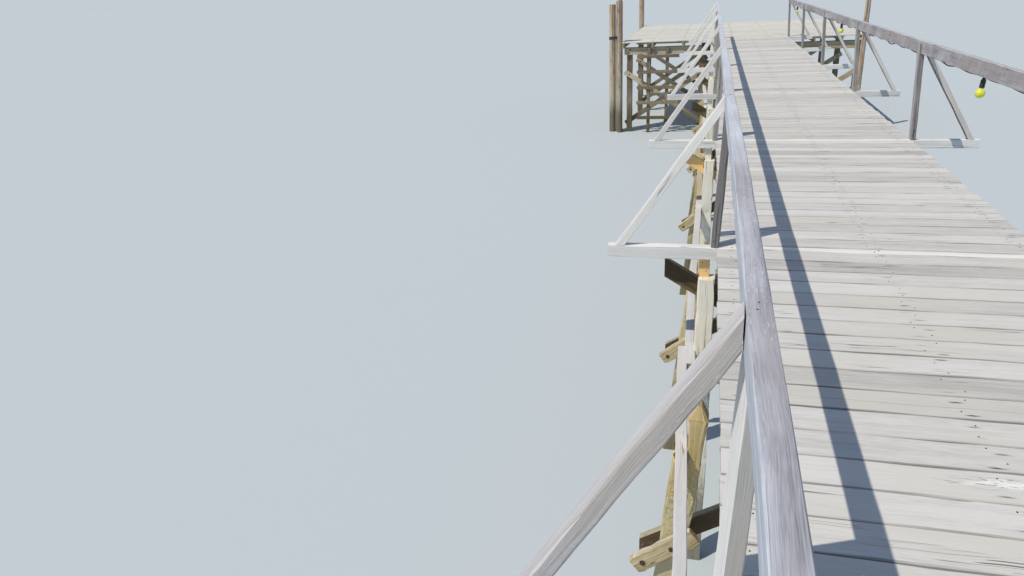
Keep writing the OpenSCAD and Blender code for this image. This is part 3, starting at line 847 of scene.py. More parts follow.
def lay_boards(lot, y0, y1):
    """Boards side by side from y0 to y1, as near to the usual pitch as they come out."""
    rng = lot.rng
    rows = max(1, round((y1 - y0) / BOARD_PITCH))
    pitch = (y1 - y0) / rows
    for row in range(rows):
        gap = rng.uniform(2.5, 6.5)
        y = y0 + (row + 0.5) * pitch
        sit = rng.normal(0, 0.7)
        left, right = rng.uniform(-0.5, 1) * RAGGED, DECK_WIDE + rng.uniform(-1, 0.5) * RAGGED
        tone = float(np.clip(rng.normal(0.0, 0.4), -0.75, 0.85))
        mid_z = sit - BOARD / 2
        seed = lot.stick((0, y, mid_z), (DECK_WIDE, y, mid_z), pitch - gap, BOARD, ALONG_Y,
                         cut_start=((left, y, 0), (1, rng.normal(0, 0.02), 0)),
                         cut_end=((right, y, 0), (1, rng.normal(0, 0.02), 0)), arris=3.0, uneven=1.2,
                         checks=0.12, check_deep=4, step=150, tone=tone, rough=0.35,
                         slew=math.radians(rng.normal(0, 0.25)))
        for line, x in enumerate(NAIL_LINES):
            for side in (-1, 1):
                stray_x, stray_y = (astray(seed, line, side, way) for way in (0, 1))
                at = (x + stray_x, y + side * (NAIL_OFF + stray_y), sit + 0.6)
                lot.fixing(at, UP, radius=3.4, stands=0.9)


shore_boards = Lot(71)
lay_boards(shore_boards, *SHORE_BOARDS)
shore_boards.made_into("boards_shore", deck_grey, "deck_boards", "deck_shore")
for bay, (near, far) in enumerate(zip(STATIONS, STATIONS[1:]), 1):
    boards = Lot(71 + bay)
    lay_boards(boards, near + OFF_CROSS[0], far - OFF_CROSS[1])
    boards.made_into(f"boards_bay_{bay}", deck_grey, "deck_boards", f"deck_bay_{bay}")

# Handrail posts
# A sawn post is skew nailed on every cross timber at each edge of the deck, leaning a
# little inward. The left ones stop under the rail; the right ones are cut to lap its side.

RAILS = dict(left=dict(x=27.5, wide=55, foot=850, top=945), right=dict(x=1842.5, wide=45, foot=812, top=927))
POST_AT_FOOT, POST_AT_RAIL = dict(left=-12.5, right=1867), dict(left=27.5, right=1827)
POST_WIDE, POST_DEEP, POST_OFF, LAPPED_TOP = 48, 78, 7, 898.25
FIRST_POST_IN = 9
POST_TURN = [13, -5, 3, -2, 4, -3, 2]
# The right posts' left faces, where the light falls, are painted paler.
post_grey = [
    weathered("post_grey", (176, 173, 172), (108, 104, 103), (148, 138, 130),
              painted_side_light((-1, 0, 0), (216, 217, 222), 0.85), knots(0.5), cracks=0.7, blotches=0.7),
    end_grain("post_grey_ends", (190, 180, 164), (120, 108, 94)), rust]
# post_first's left face, where the light falls, is painted near white.
post_pale = [
    weathered("post_pale", (196, 194, 190), (96, 93, 92), (158, 150, 138), knots(0.5),
              fibres=0.9, cracks=0.6, blotches=0.5),
    post_grey[1], rust,
    weathered("post_first", (206, 205, 203), (168, 166, 164), (196, 190, 180),
              painted_side_light((-1, 0, 0), (250, 250, 250), 0.95), knots(0.5),
              bands=0.6, fibres=1.0, cracks=0.2, blotches=0.3),
    weathered("post_dark", (152, 151, 154), (80, 78, 82), (124, 119, 116), knots(0.5),
              bands=0.9, fibres=1.0, cracks=0.8, blotches=0.6)]
POST_FINISH = {("left", STATIONS[0]): (3, 1), ("left", STATIONS[1]): (4, 1)}
for side, seed, finishes in (("left", 81, post_pale), ("right", 82, post_grey)):
    posts = Lot(seed)
    under = RAILS[side]["foot"]
    lean = (POST_AT_RAIL[side] - POST_AT_FOOT[side]) / under
    for y, turn in zip(STATIONS, POST_TURN):
        first = (side, y) == ("left", STATIONS[0])
        top, turn, notches = under, math.radians(turn), []
        if side == "right":
            top, turn, notches = LAPPED_TOP, 0.0, [(under, LAPPED_TOP + 9, 1, (31, 26.6))]
        mid_y, foot_x = y + POST_OFF, POST_AT_FOOT[side] + FIRST_POST_IN * first
        posts.stick((foot_x, mid_y, 0), (foot_x + lean * top, mid_y, top), POST_WIDE, POST_DEEP,
                    (math.cos(turn), math.sin(turn), 0), cut_start=level_cut(0.5),
                    cut_end=level_cut(top - 0.5), arris=4, uneven=1.6, checks=0.0 if first else 0.6,
                    check_deep=6, step=90,
                    tone=0.1 if first else posts.rng.normal(-0.2, 0.25), rough=0.6, notches=notches,
                    finish=POST_FINISH.get((side, y), (0, 1)))
        for z, dx in ((46, -11), (88, 12)):
            x = POST_AT_FOOT[side] + lean * z
            for face in (-1, 1):
                out = POST_DEEP / 2 - dx * math.sin(turn)
                posts.fixing((x - face * dx, mid_y + face * out, z), (0, face, 0), radius=4, stands=1.4)
    posts.made_into(f"posts_{side}_timber", finishes, "post_timber", f"posts_{side}")

# Raking braces
# From the tip of each cross timber a sawn brace rakes up to the side of the rail: cut
# level at the foot, plumb at the head, and nailed at both. They are split by the sun.

LEFT_BRACE = dict(start=(-619.3, -14.0), end=(20.7, 931.0),
                  nails=((-589.5, 30), (-567.8, 62), (-13.9, 880), (-34.2, 850)))
FIRST_BRACE = dict(start=(-568.8, -13.2), end=(21.2, 931.8),
                   nails=((-541.8, 30), (-521.9, 62), (-11.2, 880), (-29.9, 850)))
RIGHT_BRACE = dict(start=(2386.1, -11.3), end=(1846.1, 895.7),
                   nails=((2362.7, 28), (2346, 56), (1903, 800), (1885, 830)))
UP_LEFT, UP_RIGHT, UNDER_LEFT = (-0.848, 0, 0.53), (0.86, 0, 0.51), (-0.86, 0, -0.51)
# The braces' faces that look up to the left and up to the right are painted paler as lit; brace_bleached's
# near and upper left faces too.
brace_grey = [
    weathered("brace_grey", (207, 206, 206), (147, 145, 145), (186, 180, 172),
              painted_side_light(UP_LEFT, (222, 220, 226), 0.75), painted_side_light(UP_RIGHT, (206, 202, 204), 0.6),
              knots(0.5), flecks(0.6), fibres=1.0, cracks=0.35),
    end_grain("brace_grey_ends", (204, 194, 176), (132, 120, 104)), rust,
    weathered("brace_bleached", (252, 250, 246), (212, 208, 202), (236, 226, 214),
              painted_side_light((0, -1, 0), (255, 254, 250), 0.8), painted_side_light(UP_LEFT, (238, 238, 242), 0.7),
              knots(0.5), flecks(0.3), fibres=0.8, cracks=0.25)]
# brace_pale's upper right faces are painted paler as lit, and its under left faces darker as painted shade.
brace_pale = [
    weathered("brace_pale", (230, 228, 226), (176, 173, 171), (210, 203, 194),
              painted_side_light(UP_RIGHT, (226, 224, 228), 0.6), painted_side_light(UNDER_LEFT, (112, 106, 104), 0.7),
              knots(0.5), flecks(0.3), fibres=0.8, cracks=0.3),
    brace_grey[1], rust]
for side, seed, finishes, deep, plumb in (("left", 91, brace_grey, 50, -1),
                                          ("right", 92, brace_pale, 44, 1866)):
    braces = Lot(seed)
    for y in STATIONS:
        first, mid_y = y == STATIONS[0], y + POST_OFF
        shape = RIGHT_BRACE if side == "right" else FIRST_BRACE if first else LEFT_BRACE
        (x0, z0), (x1, z1) = shape["start"], shape["end"]
        braces.stick((x0, mid_y, z0), (x1, mid_y, z1), POST_DEEP, deep, ALONG_Y, cut_start=level_cut(0.5),
                     cut_end=plumb_cut(plumb), arris=4, uneven=1.6, checks=0.0 if first else 0.25,
                     check_deep=5, step=110, tone=braces.rng.normal(0, 0.2), rough=0.6,
                     finish=(3, 1) if side == "left" and not first else (0, 1))
        for x, z in shape["nails"]:
            braces.fixing((x, mid_y + POST_DEEP / 2, z), ALONG_Y, radius=3.2, stands=1.0)
    braces.made_into(f"braces_{side}_timber", finishes, "brace_timber", f"braces_{side}")

# Handrails
# Sawn rails on edge, spiked down on the post heads. The left is silvered to lavender
# and butted over the posts; the right is rough sawn, its lengths halved together.

RAIL_END = 21160
RAIL_ENDS = dict(left=[0, 3957, 10737, 17517, RAIL_END], right=[0, 6950, 13730, RAIL_END])
RAIL_TONES = dict(left=[-0.1, 0.0, 0.2, 0.1], right=[-0.05, 0.1, 0.0])
HALVED = 160


def saw_marks(amount):
    """The slanting marks that a coarse saw leaves."""
    def lay(f):
        marks = f.noise(f.joined(f.scaled(f.v, 0.35, f.u), f.v, f.seed), (95.0, 6.0, 3.0), 1.0)
        f.base = f.blend(f.times(f.soft(marks, 0.35, 0.65), 0.30 * amount), f.base, dimmed(f.dark, 0.55))
        f.height = f.scaled(marks, 0.8 * amount, f.height)
    return lay


# The left rails' left faces are painted a paler blue-white as lit.
rail_lavender = [
    weathered("left_rail_silver", (194, 197, 208), (124, 124, 135), (168, 162, 168),
              paler_end(2.1, 1.3, (214, 219, 232)), painted_side_light((-1, 0, 0), (220, 227, 240), 0.85),
              knots(0.6), flecks(0.9), bands=1.0, fibres=1.2, blotches=1.0, cracks=0.15),
    end_grain("left_rail_ends", (206, 204, 208), (140, 134, 138)), rust,
    weathered("left_rail_paler", (214, 219, 232), (170, 174, 188), (198, 199, 208),
              painted_side_light((-1, 0, 0), (224, 230, 242), 0.8), knots(0.4), flecks(0.4),
              fibres=1.0, blotches=0.6, cracks=0.12)]
# The right rail's top is painted paler as lit.
rail_sawn = [
    weathered("right_rail_sawn", (204, 202, 205), (128, 125, 131), (170, 160, 158),
              painted_side_light((0, 0, 1), (216, 217, 224), 0.7), knots(0.9), flecks(0.5), saw_marks(0.8),
              bands=0.7, fibres=0.6, blotches=1.2, cracks=0.5),
    end_grain("right_rail_ends", (178, 166, 156), (112, 100, 94)), rust]
for side, seed, finishes in (("left", 95, rail_lavender), ("right", 96, rail_sawn)):
    rails = Lot(seed)
    ends = RAIL_ENDS[side]
    x, wide, foot, top = RAILS[side].values()
    mid_z, half_through = (foot + top) / 2, (wide / 2 + 0.5,) * 2
    for y0, y1, tone in zip(ends, ends[1:], RAIL_TONES[side]):
        near, far, notches = y0 + 1.5, y1 - 1.5, []
        if side == "right" and y0:
            near = y0 - HALVED + 1
            notches.append((far - y0, far - near + 5, 3, half_through))
        if side == "right" and y1 != RAIL_END:
            notches.append((-5, HALVED, 1, half_through))
        rails.stick((x, far, mid_z), (x, near, mid_z), wide, top - foot, ALONG_X, arris=3.5, uneven=0.8,
                    checks=0.12, check_deep=4, step=160, tone=tone, rough=0.5, notches=notches,
                    bow=(6 if (side, y0) == ("left", 0) else rails.rng.normal(0, 2), 0),
                    finish=(3, 1) if side == "left" and y0 else (0, 1))
    for y in STATIONS:
        for dy in (-18, 20):
            at = (x + rails.rng.normal(0, 4), y + POST_OFF + dy, top + 0.2)
            rails.fixing(at, UP, radius=3.4, stands=0.8)
    rails.made_into(f"handrail_{side}_timber", finishes, f"{side}_rail_timber", f"handrail_{side}")

# Head: piles, caps and braces
# The broad head stands on three rows of four heavier squared piles. Paired caps clasp
# each row, and crossed planks brace the outer bays on both faces, all bolted.

HEAD_LEFT, HEAD_RIGHT, HEAD_NEAR, HEAD_FAR = -2500, 3855, 20936.5, 28436.5
HEAD_ROWS = [HEAD_NEAR + 250, HEAD_NEAR + 3750, HEAD_FAR - 250]
HEAD_COLUMNS = [HEAD_LEFT + 200 + 1985 * k for k in range(4)]
HEAD_PILE, HEAD_PILE_TOP = 150, -170
HEAD_CAP_THICK, HEAD_CAP_DEEP, HEAD_CAP_Z, HEAD_CAP_INSET = 60, 180, -260, 60
BRACE_HIGH, BRACE_LOW, BRACE_PAST, BRACE_THICK, BRACE_WIDE = -890, -2200, 120, 50, 130
head_timber = [
    weathered("head_timber", (204, 194, 170), (136, 124, 102), (184, 160, 118), knots(0.5),
              crust(0.6, 1.8, (196, 188, 164)), blotches=0.9),
    end_grain("head_timber_ends", (198, 184, 154), (124, 108, 82)), rust]
# head_shaded is a darker copy of head_timber, painted as shade for the piles and ladder under the head.
head_painted_shade = [
    weathered("head_shaded", (150, 140, 124), (88, 80, 68), (138, 116, 84), knots(0.5),
              crust(0.5, 1.7, (160, 152, 130)), blotches=0.9),
    end_grain("head_shaded_ends", (160, 146, 120), (92, 80, 62)), rust]
head_piles, head_caps, head_braces = Lot(101), Lot(102), Lot(103)
for y in HEAD_ROWS:
    for x in HEAD_COLUMNS:
        head_piles.stick((x, y, WATERLINE), (x, y, HEAD_PILE_TOP), HEAD_PILE, HEAD_PILE, ALONG_X,
                         cut_start=FOOT_CUT, arris=9, uneven=4, checks=0.8,
                         check_deep=9, step=150, tone=head_piles.rng.normal(-0.1, 0.3), rough=1.2)
    for face in (-1, 1):
        cap_y = y + face * (HEAD_PILE + HEAD_CAP_THICK) / 2
        head_caps.stick((HEAD_LEFT + HEAD_CAP_INSET, cap_y, HEAD_CAP_Z),
                        (HEAD_RIGHT - HEAD_CAP_INSET, cap_y, HEAD_CAP_Z), HEAD_CAP_THICK, HEAD_CAP_DEEP,
                        ALONG_Y, arris=5, uneven=1.5, tone=head_caps.rng.normal(0, 0.25), step=300)
        for x in HEAD_COLUMNS:
            for dz in (-45, 42):
                at = (x + dz * 0.4, cap_y + face * HEAD_CAP_THICK / 2, HEAD_CAP_Z + dz)
                head_caps.fixing(at, (0, face, 0), radius=11, stands=10, washer=25)
        brace_y = y + face * (HEAD_PILE + BRACE_THICK) / 2
        for high, low in (((0, 1), (3, 2)) if face < 0 else ((1, 0), (2, 3))):
            a, b = HEAD_COLUMNS[high], HEAD_COLUMNS[low]
            past = math.copysign(BRACE_PAST, b - a)
            fall = (BRACE_LOW - BRACE_HIGH) / (b - a)
            head_braces.stick((a - past, brace_y, BRACE_HIGH - past * fall),
                              (b + past, brace_y, BRACE_LOW + past * fall), BRACE_THICK, BRACE_WIDE,
                              ALONG_Y, arris=4, uneven=1.5, tone=head_braces.rng.normal(0.25, 0.25),
                              step=260)
            for x, z in ((a, BRACE_HIGH), (b, BRACE_LOW)):
                at = (x, brace_y + face * BRACE_THICK / 2, z)
                head_braces.fixing(at, (0, face, 0), radius=10, stands=9, washer=22)
head_piles.made_into("head_piles_timber", head_painted_shade, "head_timber", "head_piles")
head_caps.made_into("head_caps_timber", head_timber, "head_timber", "head_caps")
head_braces.made_into("head_braces_timber", head_timber, "head_timber", "head_braces")

# Head: joists and boards
# Eight sawn joists run seaward over the caps. The boards are nailed across them in two
# or three lengths to a row, with the butts staggered from row to row.

HEAD_JOISTS = [-2467.5, -1666.7, -833.3, 463.75, 1391.25, 2521.7, 3188.3, 3822.5]
BUTTS = ([HEAD_JOISTS[3]], [HEAD_JOISTS[2], HEAD_JOISTS[5]])
head_joists = Lot(104)
for x in HEAD_JOISTS:
    head_joists.stick((x, HEAD_NEAR + 10, JOIST_Z), (x, HEAD_FAR - 10, JOIST_Z), JOIST_WIDE, JOIST_DEEP,
                      ALONG_X, arris=3, uneven=1.0, step=400, tone=head_joists.rng.normal(0.1, 0.25))
head_joists.made_into("head_joists_timber", head_timber, "head_timber", "head_joists")

head_grey = [
    weathered("head_board_cream", (226, 225, 220), (188, 186, 180), (216, 209, 196), knots(0.5),
              bands=0.7, blotches=0.6, cracks=0.6),
    deck_grey[1], rust]
head_boards = Lot(105)
rows = round((HEAD_FAR - HEAD_NEAR) / BOARD_PITCH)
pitch = (HEAD_FAR - HEAD_NEAR) / rows
for row in range(rows):
    y = HEAD_NEAR + (row + 0.5) * pitch
    cuts = [HEAD_LEFT + 3, *BUTTS[row % 2], HEAD_RIGHT - 3]
    for x0, x1 in zip(cuts, cuts[1:]):
        wide = pitch - head_boards.rng.uniform(4, 8)
        tone = float(np.clip(head_boards.rng.normal(0, 0.35), -0.8, 0.8))
        head_boards.stick((x0 + 1.5, y, -BOARD / 2), (x1 - 1.5, y, -BOARD / 2), wide, BOARD, ALONG_Y,
                          arris=3, uneven=1.2, checks=0.3, step=420, tone=tone)
        for x in HEAD_JOISTS:
            if x0 - 35 < x < x1 + 35:
                at_x = min(max(x, x0 + 22), x1 - 22)
                for dy in (-45, 45):
                    head_boards.fixing((at_x, y + dy, 0.8), UP, radius=4.6, stands=1.2, sides=5)
head_boards.made_into("boards_head", head_grey, "deck_boards", "deck_head")

# Head: ladder
# In the shade of the near edge a ladder goes down to the waterline: two squared
# softwood stiles, and long rungs spiked across them.

STILES, STILE_Y, STILE_SIDE = (-1750, -1250), 21009, 85
RUNG_TOP, RUNG_PITCH, RUNG_PAST, RUNG_OFF = -395, 420, 325, 65
RUNG_THICK, RUNG_WIDE = 45, 90
stiles, rungs = Lot(106), Lot(107)
for x in STILES:
    stiles.stick((x, STILE_Y, WATERLINE), (x, STILE_Y, HEAD_PILE_TOP - 1), STILE_SIDE, STILE_SIDE, ALONG_X,
                 cut_start=FOOT_CUT, arris=5, uneven=2, step=160, tone=-0.2)
rung_y = STILE_Y - RUNG_OFF
for k in range(5):
    z = RUNG_TOP - RUNG_PITCH * k
    rungs.stick((STILES[0] - RUNG_PAST, rung_y, z), (STILES[1] + RUNG_PAST, rung_y, z), RUNG_THICK, RUNG_WIDE,
                ALONG_Y, arris=4, uneven=1.5, step=200, tone=rungs.rng.normal(-0.1, 0.2))
    for x in STILES:
        for dz in (-20, 20):
            rungs.fixing((x + dz * 0.6, rung_y - RUNG_THICK / 2, z + dz), (0, -1, 0), radius=6, stands=3)
stiles.made_into("ladder_stiles_timber", head_painted_shade, "head_timber", "ladder_stiles")
rungs.made_into("ladder_rungs_timber", head_painted_shade, "head_timber", "ladder_rungs")

# Mooring piles
# Round softwood poles with the bark off, driven outside the head: three at its near left
# corner, one at the far left and one on the right. They taper, and the sun splits them.

BIG_POLE, SLIM_POLE = 95, 66.5
NEAR_POLE, OUTER_POLE, POLE_ROW = -2595, -2787, HEAD_ROWS[0]
LOGS = [(NEAR_POLE, POLE_ROW, BIG_POLE, 1070, -0.5), (OUTER_POLE, POLE_ROW, BIG_POLE, 990, 0.5),
        (-2566.5, 21015, SLIM_POLE, 1150, 0.1), (NEAR_POLE, HEAD_ROWS[2], BIG_POLE, 1030, 0.2),
        (3700, 20870, SLIM_POLE, 1110, 0.3)]
mooring_finish = [
    weathered("mooring_pole", (206, 192, 168), (122, 104, 86), (176, 138, 116), knots(0.9),
              crust(0.7, 2.0, (198, 190, 168)), bands=0.9, blotches=1.0, cracks=1.0, relief=0.004),
    end_grain("mooring_pole_ends", (214, 200, 170), (140, 120, 92)), rust]


def pole(lot, x, y, radius, top, tone):
    """A round pole, tapering a little to its top, split and knobbly."""
    rng, around = lot.rng, 28
    levels = np.arange(0, top - WATERLINE, 90.0)
    levels = np.append(levels[:-1], [top - WATERLINE - 6, top - WATERLINE - 0.5])
    turn = np.linspace(0, 2 * math.pi, around, endpoint=False)
    lobes = sum(rng.uniform(0.004, 0.014) * np.cos(k * turn + rng.uniform(0, 6.28)) for k in (2, 3, 5))
    split_at, split_low = rng.integers(around, size=2), rng.uniform(0.35, 0.6, 2)
    rings, dark = [], []
    for level in levels:
        share = level / levels[-1]
        size = radius * (0.985 - 0.05 * share) * (1 + lobes + rng.normal(0, 0.004, around))
        if level == levels[-1]:
            size -= 5
        shadow = np.zeros(around)
        for at, low in zip(split_at, split_low):
            depth = 12 * np.clip((share - low) / 0.3, 0, 1)
            size[at] -= depth
            shadow[at] = min(depth / 8, 1)
        height = np.full(around, WATERLINE + level)
        rings.append(np.column_stack([x + size * np.cos(turn), y + size * np.sin(turn), height]))
        dark.append(shadow)
    points = np.vstack([*rings, (x, y, WATERLINE), (x, y, top - 0.5)])
    seed = rng.uniform(0, 40)
    faces = skin(len(levels), around)
    finish = [0] * len(faces) + [1] * (2 * around)
    along = np.repeat(levels[:, None] / 1000, around, axis=1)
    grain = unrolled(along, radius * np.arange(around + 1) / around * 6.28 / 1000, seed)
    last = (len(levels) - 1) * around
    for j in range(around):
        k = (j + 1) % around
        for end in ([last + j, last + k, len(points) - 1], [k, j, len(points) - 2]):
            faces.append(end)
            grain += [((points[i][0] - x) / 1000, (points[i][1] - y) / 1000, seed) for i in end]
    lot.gather(points, faces, finish, grain, tone, np.append(np.concatenate(dark), [0.2, 0.2]))


mooring = Lot(108)
for log in LOGS:
    pole(mooring, *log)
mooring.made_into("mooring_poles", mooring_finish, "head_timber", "mooring_piles")

# Mooring strap
# A band of dark rubber belting binds the two thick poles at the corner together. It
# goes round both, and is nailed near each of its ends.

BELT_RADIUS, BELT_THICK = BIG_POLE + 0.5, 5.0
BELT_LOW, BELT_HIGH = 70.0, 145.0
BELT_TURNS = ((NEAR_POLE, -33, -90, 8), (OUTER_POLE, -90, -270, 22), (NEAR_POLE, 90, 33, 8))


def closed(rings, around):
    """The skin over rings of points, with a flat face at each end."""
    last = (rings - 1) * around
    return skin(rings, around) + [list(range(around))[::-1], [last + j for j in range(around)]]


def belting(name):
    """Woven rubber belting, dull black, rubbed grey in places."""
    f = Finish(name)
    place = f.kept("grain", "Vector")
    weave = f.noise(place, (160.0, 420.0, 1.0), 2.0)
    wear = f.noise(place, (9.0, 20.0, 1.0), 4.0)
    f.paint(f.blend(f.soft(wear, 0.4, 0.7), colour(34, 34, 36), colour(78, 76, 74)),
            f.soft(wear, 0.3, 0.7, 0.6, 0.85))
    f.bump(weave, 0.0012)
    return f.material


belt = Lot(109)
path = []
for x, start, stop, steps in BELT_TURNS:
    for a in np.linspace(math.radians(start), math.radians(stop), steps):
        path.append((x + BELT_RADIUS * math.cos(a), POLE_ROW + BELT_RADIUS * math.sin(a)))
path = np.array(path)
ahead = np.gradient(path, axis=0)
outward = np.column_stack([-ahead[:, 1], ahead[:, 0]]) / np.linalg.norm(ahead, axis=1)[:, None]
sag = belt.wander(np.arange(len(path)) * 30.0, 2.0, 260)
ribs = [(0.0, BELT_LOW, 0.3), (1.0, 71.5, 1.0), (1.0, 90.0, 1.0), (0.7, 107.0, 1.0), (1.0, 125.0, 1.0),
        (1.0, 143.5, 1.0), (0.0, BELT_HIGH, 0.3)]
points = []
for middle, out, drop in zip(path, outward, sag):
    for thick, z, sags in ribs:
        points.append((*(middle + out * (BELT_THICK * thick)), z + drop * sags - 0.5))
faces = closed(len(path), len(ribs))
grain = [(i // len(ribs) * 0.03, i % len(ribs) * 0.012, 1.0) for face in faces for i in face]
belt.gather(np.array(points), faces, [0] * len(faces), grain)
for k in (2, 5, -3, -6):
    belt.fixing((*(path[k] + outward[k] * BELT_THICK), 108), (*outward[k], 0), radius=7, stands=3)
strap_black = belting("strap_black")
belt.made_into("mooring_belt", [strap_black, strap_black, rust], "strap_black", "mooring_strap")

# Lamp cable
# A thin black flex is stapled up under the right rail, by its outer edge, with a
# short droop between staples. It feeds three lamps.

CABLE_X, CABLE_Z, CABLE_RADIUS = 1858, 806, 5.5
CABLE_START, CABLE_END, STAPLE_PITCH = 42, 21118, 565
STAPLE = ((-7, 8), (-7, 1), (-5, -5), (0, -7.2), (5, -5), (6.6, 1), (6.6, 8))


def tube(lot, path, radius, sides=10, finish=0):
    """A round flex or wire along a path of points."""
    path = np.array(path, float)
    ahead = np.gradient(path, axis=0)
    ahead /= np.linalg.norm(ahead, axis=1)[:, None]
    points = []
    for here, way in zip(path, ahead):
        one = np.cross(way, (0.12, 0.08, 1.0) if abs(way[2]) < 0.8 else (1.0, 0.1, 0.0))
        one /= np.linalg.norm(one)
        two = np.cross(way, one)
        for k in range(sides):
            turn = 2 * math.pi * k / sides
            points.append(here + radius * (math.cos(turn) * one + math.sin(turn) * two))
    far = np.append(0, np.cumsum(np.linalg.norm(np.diff(path, axis=0), axis=1))) / 1000
    faces = closed(len(path), sides)
    grain = unrolled(np.repeat(far[:, None], sides, axis=1), np.arange(sides + 1) * 0.004, 0.0)
    grain += [(0.0, 0.0, 0.0)] * (2 * sides)
    lot.gather(np.array(points), faces, [finish] * len(faces), grain)


def glossy_black(name):
    """Smooth black plastic, scuffed grey here and there."""
    f = Finish(name)
    scuff = f.noise(f.kept("grain", "Vector"), (3.0, 60.0, 1.0), 4.0)
    f.paint(f.blend(f.soft(scuff, 0.4, 0.75), colour(20, 20, 22), colour(58, 58, 60)),
            f.soft(scuff, 0.3, 0.7, 0.38, 0.6))
    f.bump(scuff, 0.0004)
    return f.material


cable = Lot(111)
stops = np.append(np.arange(CABLE_START, CABLE_END, STAPLE_PITCH), CABLE_END)
route = []
for a, b in zip(stops, stops[1:]):
    droop = cable.rng.uniform(2, 26)
    for share in np.linspace(0, 1, 9)[:-1]:
        hang = math.sin(math.pi * share)
        route.append((CABLE_X - 1.5 * hang, a + (b - a) * share, CABLE_Z - droop * hang ** 2))
route.append((CABLE_X, CABLE_END, CABLE_Z))
tube(cable, route, CABLE_RADIUS)
for y in stops[1:-1]:
    tube(cable, [(CABLE_X + dx, y, CABLE_Z + dz) for dx, dz in STAPLE], 1.6, 6, finish=2)
cable_black = glossy_black("cable_black")
cable.made_into("lamp_cable", [cable_black, cable_black, rust], "cable_black", "festoon_cable")

# Lamps
# Each lamp is a black moulded holder clipped on the flex, with a ribbed skirt,
# and a yellow globe of glazed plastic screwed up into it.

LAMPS = {5605: (-0.10, -0.04), 12385: (0.05, 0.08), 19165: (-0.1, -0.04)}
HOLDER_TOP, SKIRT_TOP, SKIRT_FOOT, RIB_PITCH = 800, 776, 744, 6
GLOBE_RADIUS, GLOBE_Z = 34.7, 687


def turned(lot, x, y, profile, around=28, lean=(0.0, 0.0), top=0.0):
    """A turned form from (radius, height) pairs, swung off plumb about its top."""
    down = np.array((*lean, -1.0)) / math.sqrt(1 + lean[0] ** 2 + lean[1] ** 2)
    one = np.cross((0.0, 1.0, 0.0), down)
    one /= np.linalg.norm(one)
    two = np.cross(one, down)
    points = []
    for r, z in profile:
        for k in range(around):
            t = 2 * math.pi * k / around
            out = math.sin(t) * two - math.cos(t) * one
            points.append(np.array((x, y, top)) + (top - z) * down + r * out)
    faces = [face[::-1] for face in closed(len(profile), around)]
    grain = []
    for i in range(len(profile) - 1):
        for j in range(around):
            grain += [(i * 0.01, j * 0.01, 2.0)] * 4
    grain += [(0.0, 0.0, 2.0)] * (2 * around)
    lot.gather(np.array(points), faces, [0] * len(faces), grain)


def globe_yellow(name):
    """Glazed lemon-yellow plastic, with a thin film of dirt."""
    f = Finish(name)
    film = f.noise(f.geometry("Position"), (45.0, 45.0, 70.0), 4.0)
    f.paint(f.blend(f.soft(film, 0.35, 0.7), colour(232, 236, 48), colour(222, 222, 96)),
            f.soft(film, 0.3, 0.7, 0.14, 0.26))
    for name, value in (("Coat Weight", 0.3), ("Subsurface Weight", 0.1), ("Subsurface Scale", 0.01)):
        f.surface.inputs[name].default_value = value
    return f.material


skirt = [(9, HOLDER_TOP), (12, 799), (13, 792), (13.5, 786), (17.5, 783), (18.6, 779)]
for z in range(SKIRT_TOP, SKIRT_FOOT, -RIB_PITCH):
    skirt += [(18.6, z), (17.6, z - 1.5), (17.6, z - 3.0), (18.6, z - 4.5)]
skirt += [(18.8, 742), (18.9, 730), (18.2, 728.4), (15.0, 728.2)]
globe = [(13.4, 728.6), (13.6, 724), (14.5, 720.5)]
for a in np.linspace(math.radians(62), math.radians(-86), 16):
    globe.append((GLOBE_RADIUS * math.cos(a), GLOBE_Z + GLOBE_RADIUS * math.sin(a)))
holders, bulbs = Lot(112), Lot(113)
for y, lean in LAMPS.items():
    turned(holders, CABLE_X, y, skirt, lean=lean, top=HOLDER_TOP)
    turned(bulbs, CABLE_X, y, globe, around=36, lean=lean, top=HOLDER_TOP)
holders.made_into("lamp_holders", [cable_black, cable_black, rust], "cable_black", "lampholders")
yellow = globe_yellow("globe_yellow")
globes = bulbs.made_into("lamp_globes", [yellow, yellow, rust], "bulb_yellow", "globe_bulbs")
for polygon in globes.data.polygons:
    polygon.use_smooth = True

# Floor, light and camera
# A plain pale floor lies at the waterline under a clear sun from behind on the left.
# The camera is at standing eye height, just short of the shore end, left of the deck.

FLOOR_PALE = colour(196, 205, 212)
FLOOR_REACH = 900.0
SKY_LIGHT, SKY_STRENGTH = (0.52, 0.69, 1.0, 1.0), 0.37
SUN_FROM, SUN_LIGHT, SUN_STRENGTH, SUN_WIDE = (-0.46, -0.45, 1.0), (1.0, 0.925, 0.79), 3.0, 0.53
EYE, LENS, SENSOR = (-0.5782, -14.86825, 4.1), 25.87, 36.0
YAW, PITCH, ROLL = 0.2697, 0.3886, -0.0563
stage = bpy.context.scene

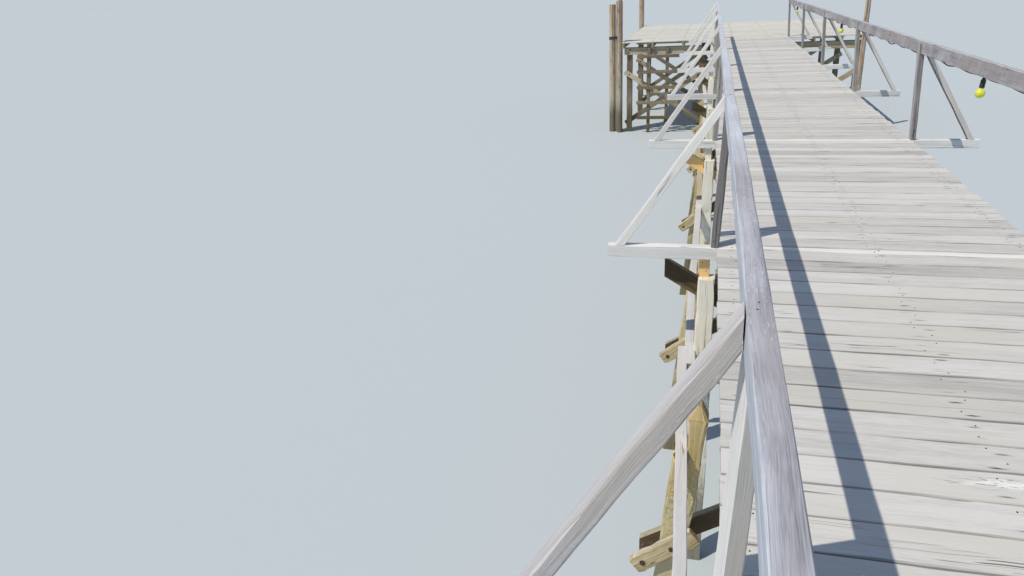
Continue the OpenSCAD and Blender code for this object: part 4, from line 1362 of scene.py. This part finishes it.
floor_mesh = bpy.data.meshes.new("floor")
floor_corners = [(x * FLOOR_REACH, y * FLOOR_REACH, 0) for x, y in ((-1, -1), (1, -1), (1, 1), (-1, 1))]
floor_mesh.from_pydata(floor_corners, [], [[0, 1, 2, 3]])
floor = bpy.data.objects.new("floor", floor_mesh)
stage.collection.objects.link(floor)
floor_finish = Finish("floor_pale")
floor_finish.paint(FLOOR_PALE, 0.95, 0.1)
floor.data.materials.append(floor_finish.material)

stage.world = bpy.data.worlds.new("studio")
stage.world.use_nodes = True
sky = stage.world.node_tree


def either(one, two):
    """1 for a ray that is of one kind or the other."""
    node = sky.nodes.new("ShaderNodeMath")
    node.operation = "MAXIMUM"
    sky.links.new(one, node.inputs[0])
    sky.links.new(two, node.inputs[1])
    return node.outputs[0]


light = sky.nodes["Background"]
light.inputs["Color"].default_value = SKY_LIGHT
light.inputs["Strength"].default_value = SKY_STRENGTH
seen = sky.nodes.new("ShaderNodeBackground")
seen.inputs["Color"].default_value = FLOOR_PALE
ray = sky.nodes.new("ShaderNodeLightPath").outputs
looked_at = either(ray["Is Camera Ray"], either(ray["Is Glossy Ray"], ray["Is Transmission Ray"]))
mixed = sky.nodes.new("ShaderNodeMixShader")
for source, socket in zip((looked_at, light.outputs[0], seen.outputs[0]), mixed.inputs):
    sky.links.new(source, socket)
sky.links.new(mixed.outputs[0], sky.nodes["World Output"].inputs["Surface"])

sun_data = bpy.data.lights.new("key", "SUN")
sun_data.energy, sun_data.angle, sun_data.color = SUN_STRENGTH, math.radians(SUN_WIDE), SUN_LIGHT
sun = bpy.data.objects.new("key", sun_data)
sun.rotation_euler = Vector(SUN_FROM).to_track_quat("Z", "Y").to_euler()
stage.collection.objects.link(sun)

look = Vector((-math.sin(YAW) * math.cos(PITCH), math.cos(YAW) * math.cos(PITCH), -math.sin(PITCH)))
right = Vector((math.cos(YAW), math.sin(YAW), 0.0))
up = right.cross(look)
rolled_right = right * math.cos(ROLL) + up * math.sin(ROLL)
rolled_up = up * math.cos(ROLL) - right * math.sin(ROLL)
lens = bpy.data.cameras.new("eye")
lens.sensor_width, lens.lens, lens.clip_end = SENSOR, LENS, 3000.0
eye = bpy.data.objects.new("eye", lens)
eye.matrix_world = Matrix.Translation(EYE) @ Matrix((rolled_right, rolled_up, -look)).transposed().to_4x4()
stage.collection.objects.link(eye)
stage.camera = eye
stage.view_settings.view_transform = "Standard"

bpy.context.view_layer.update()
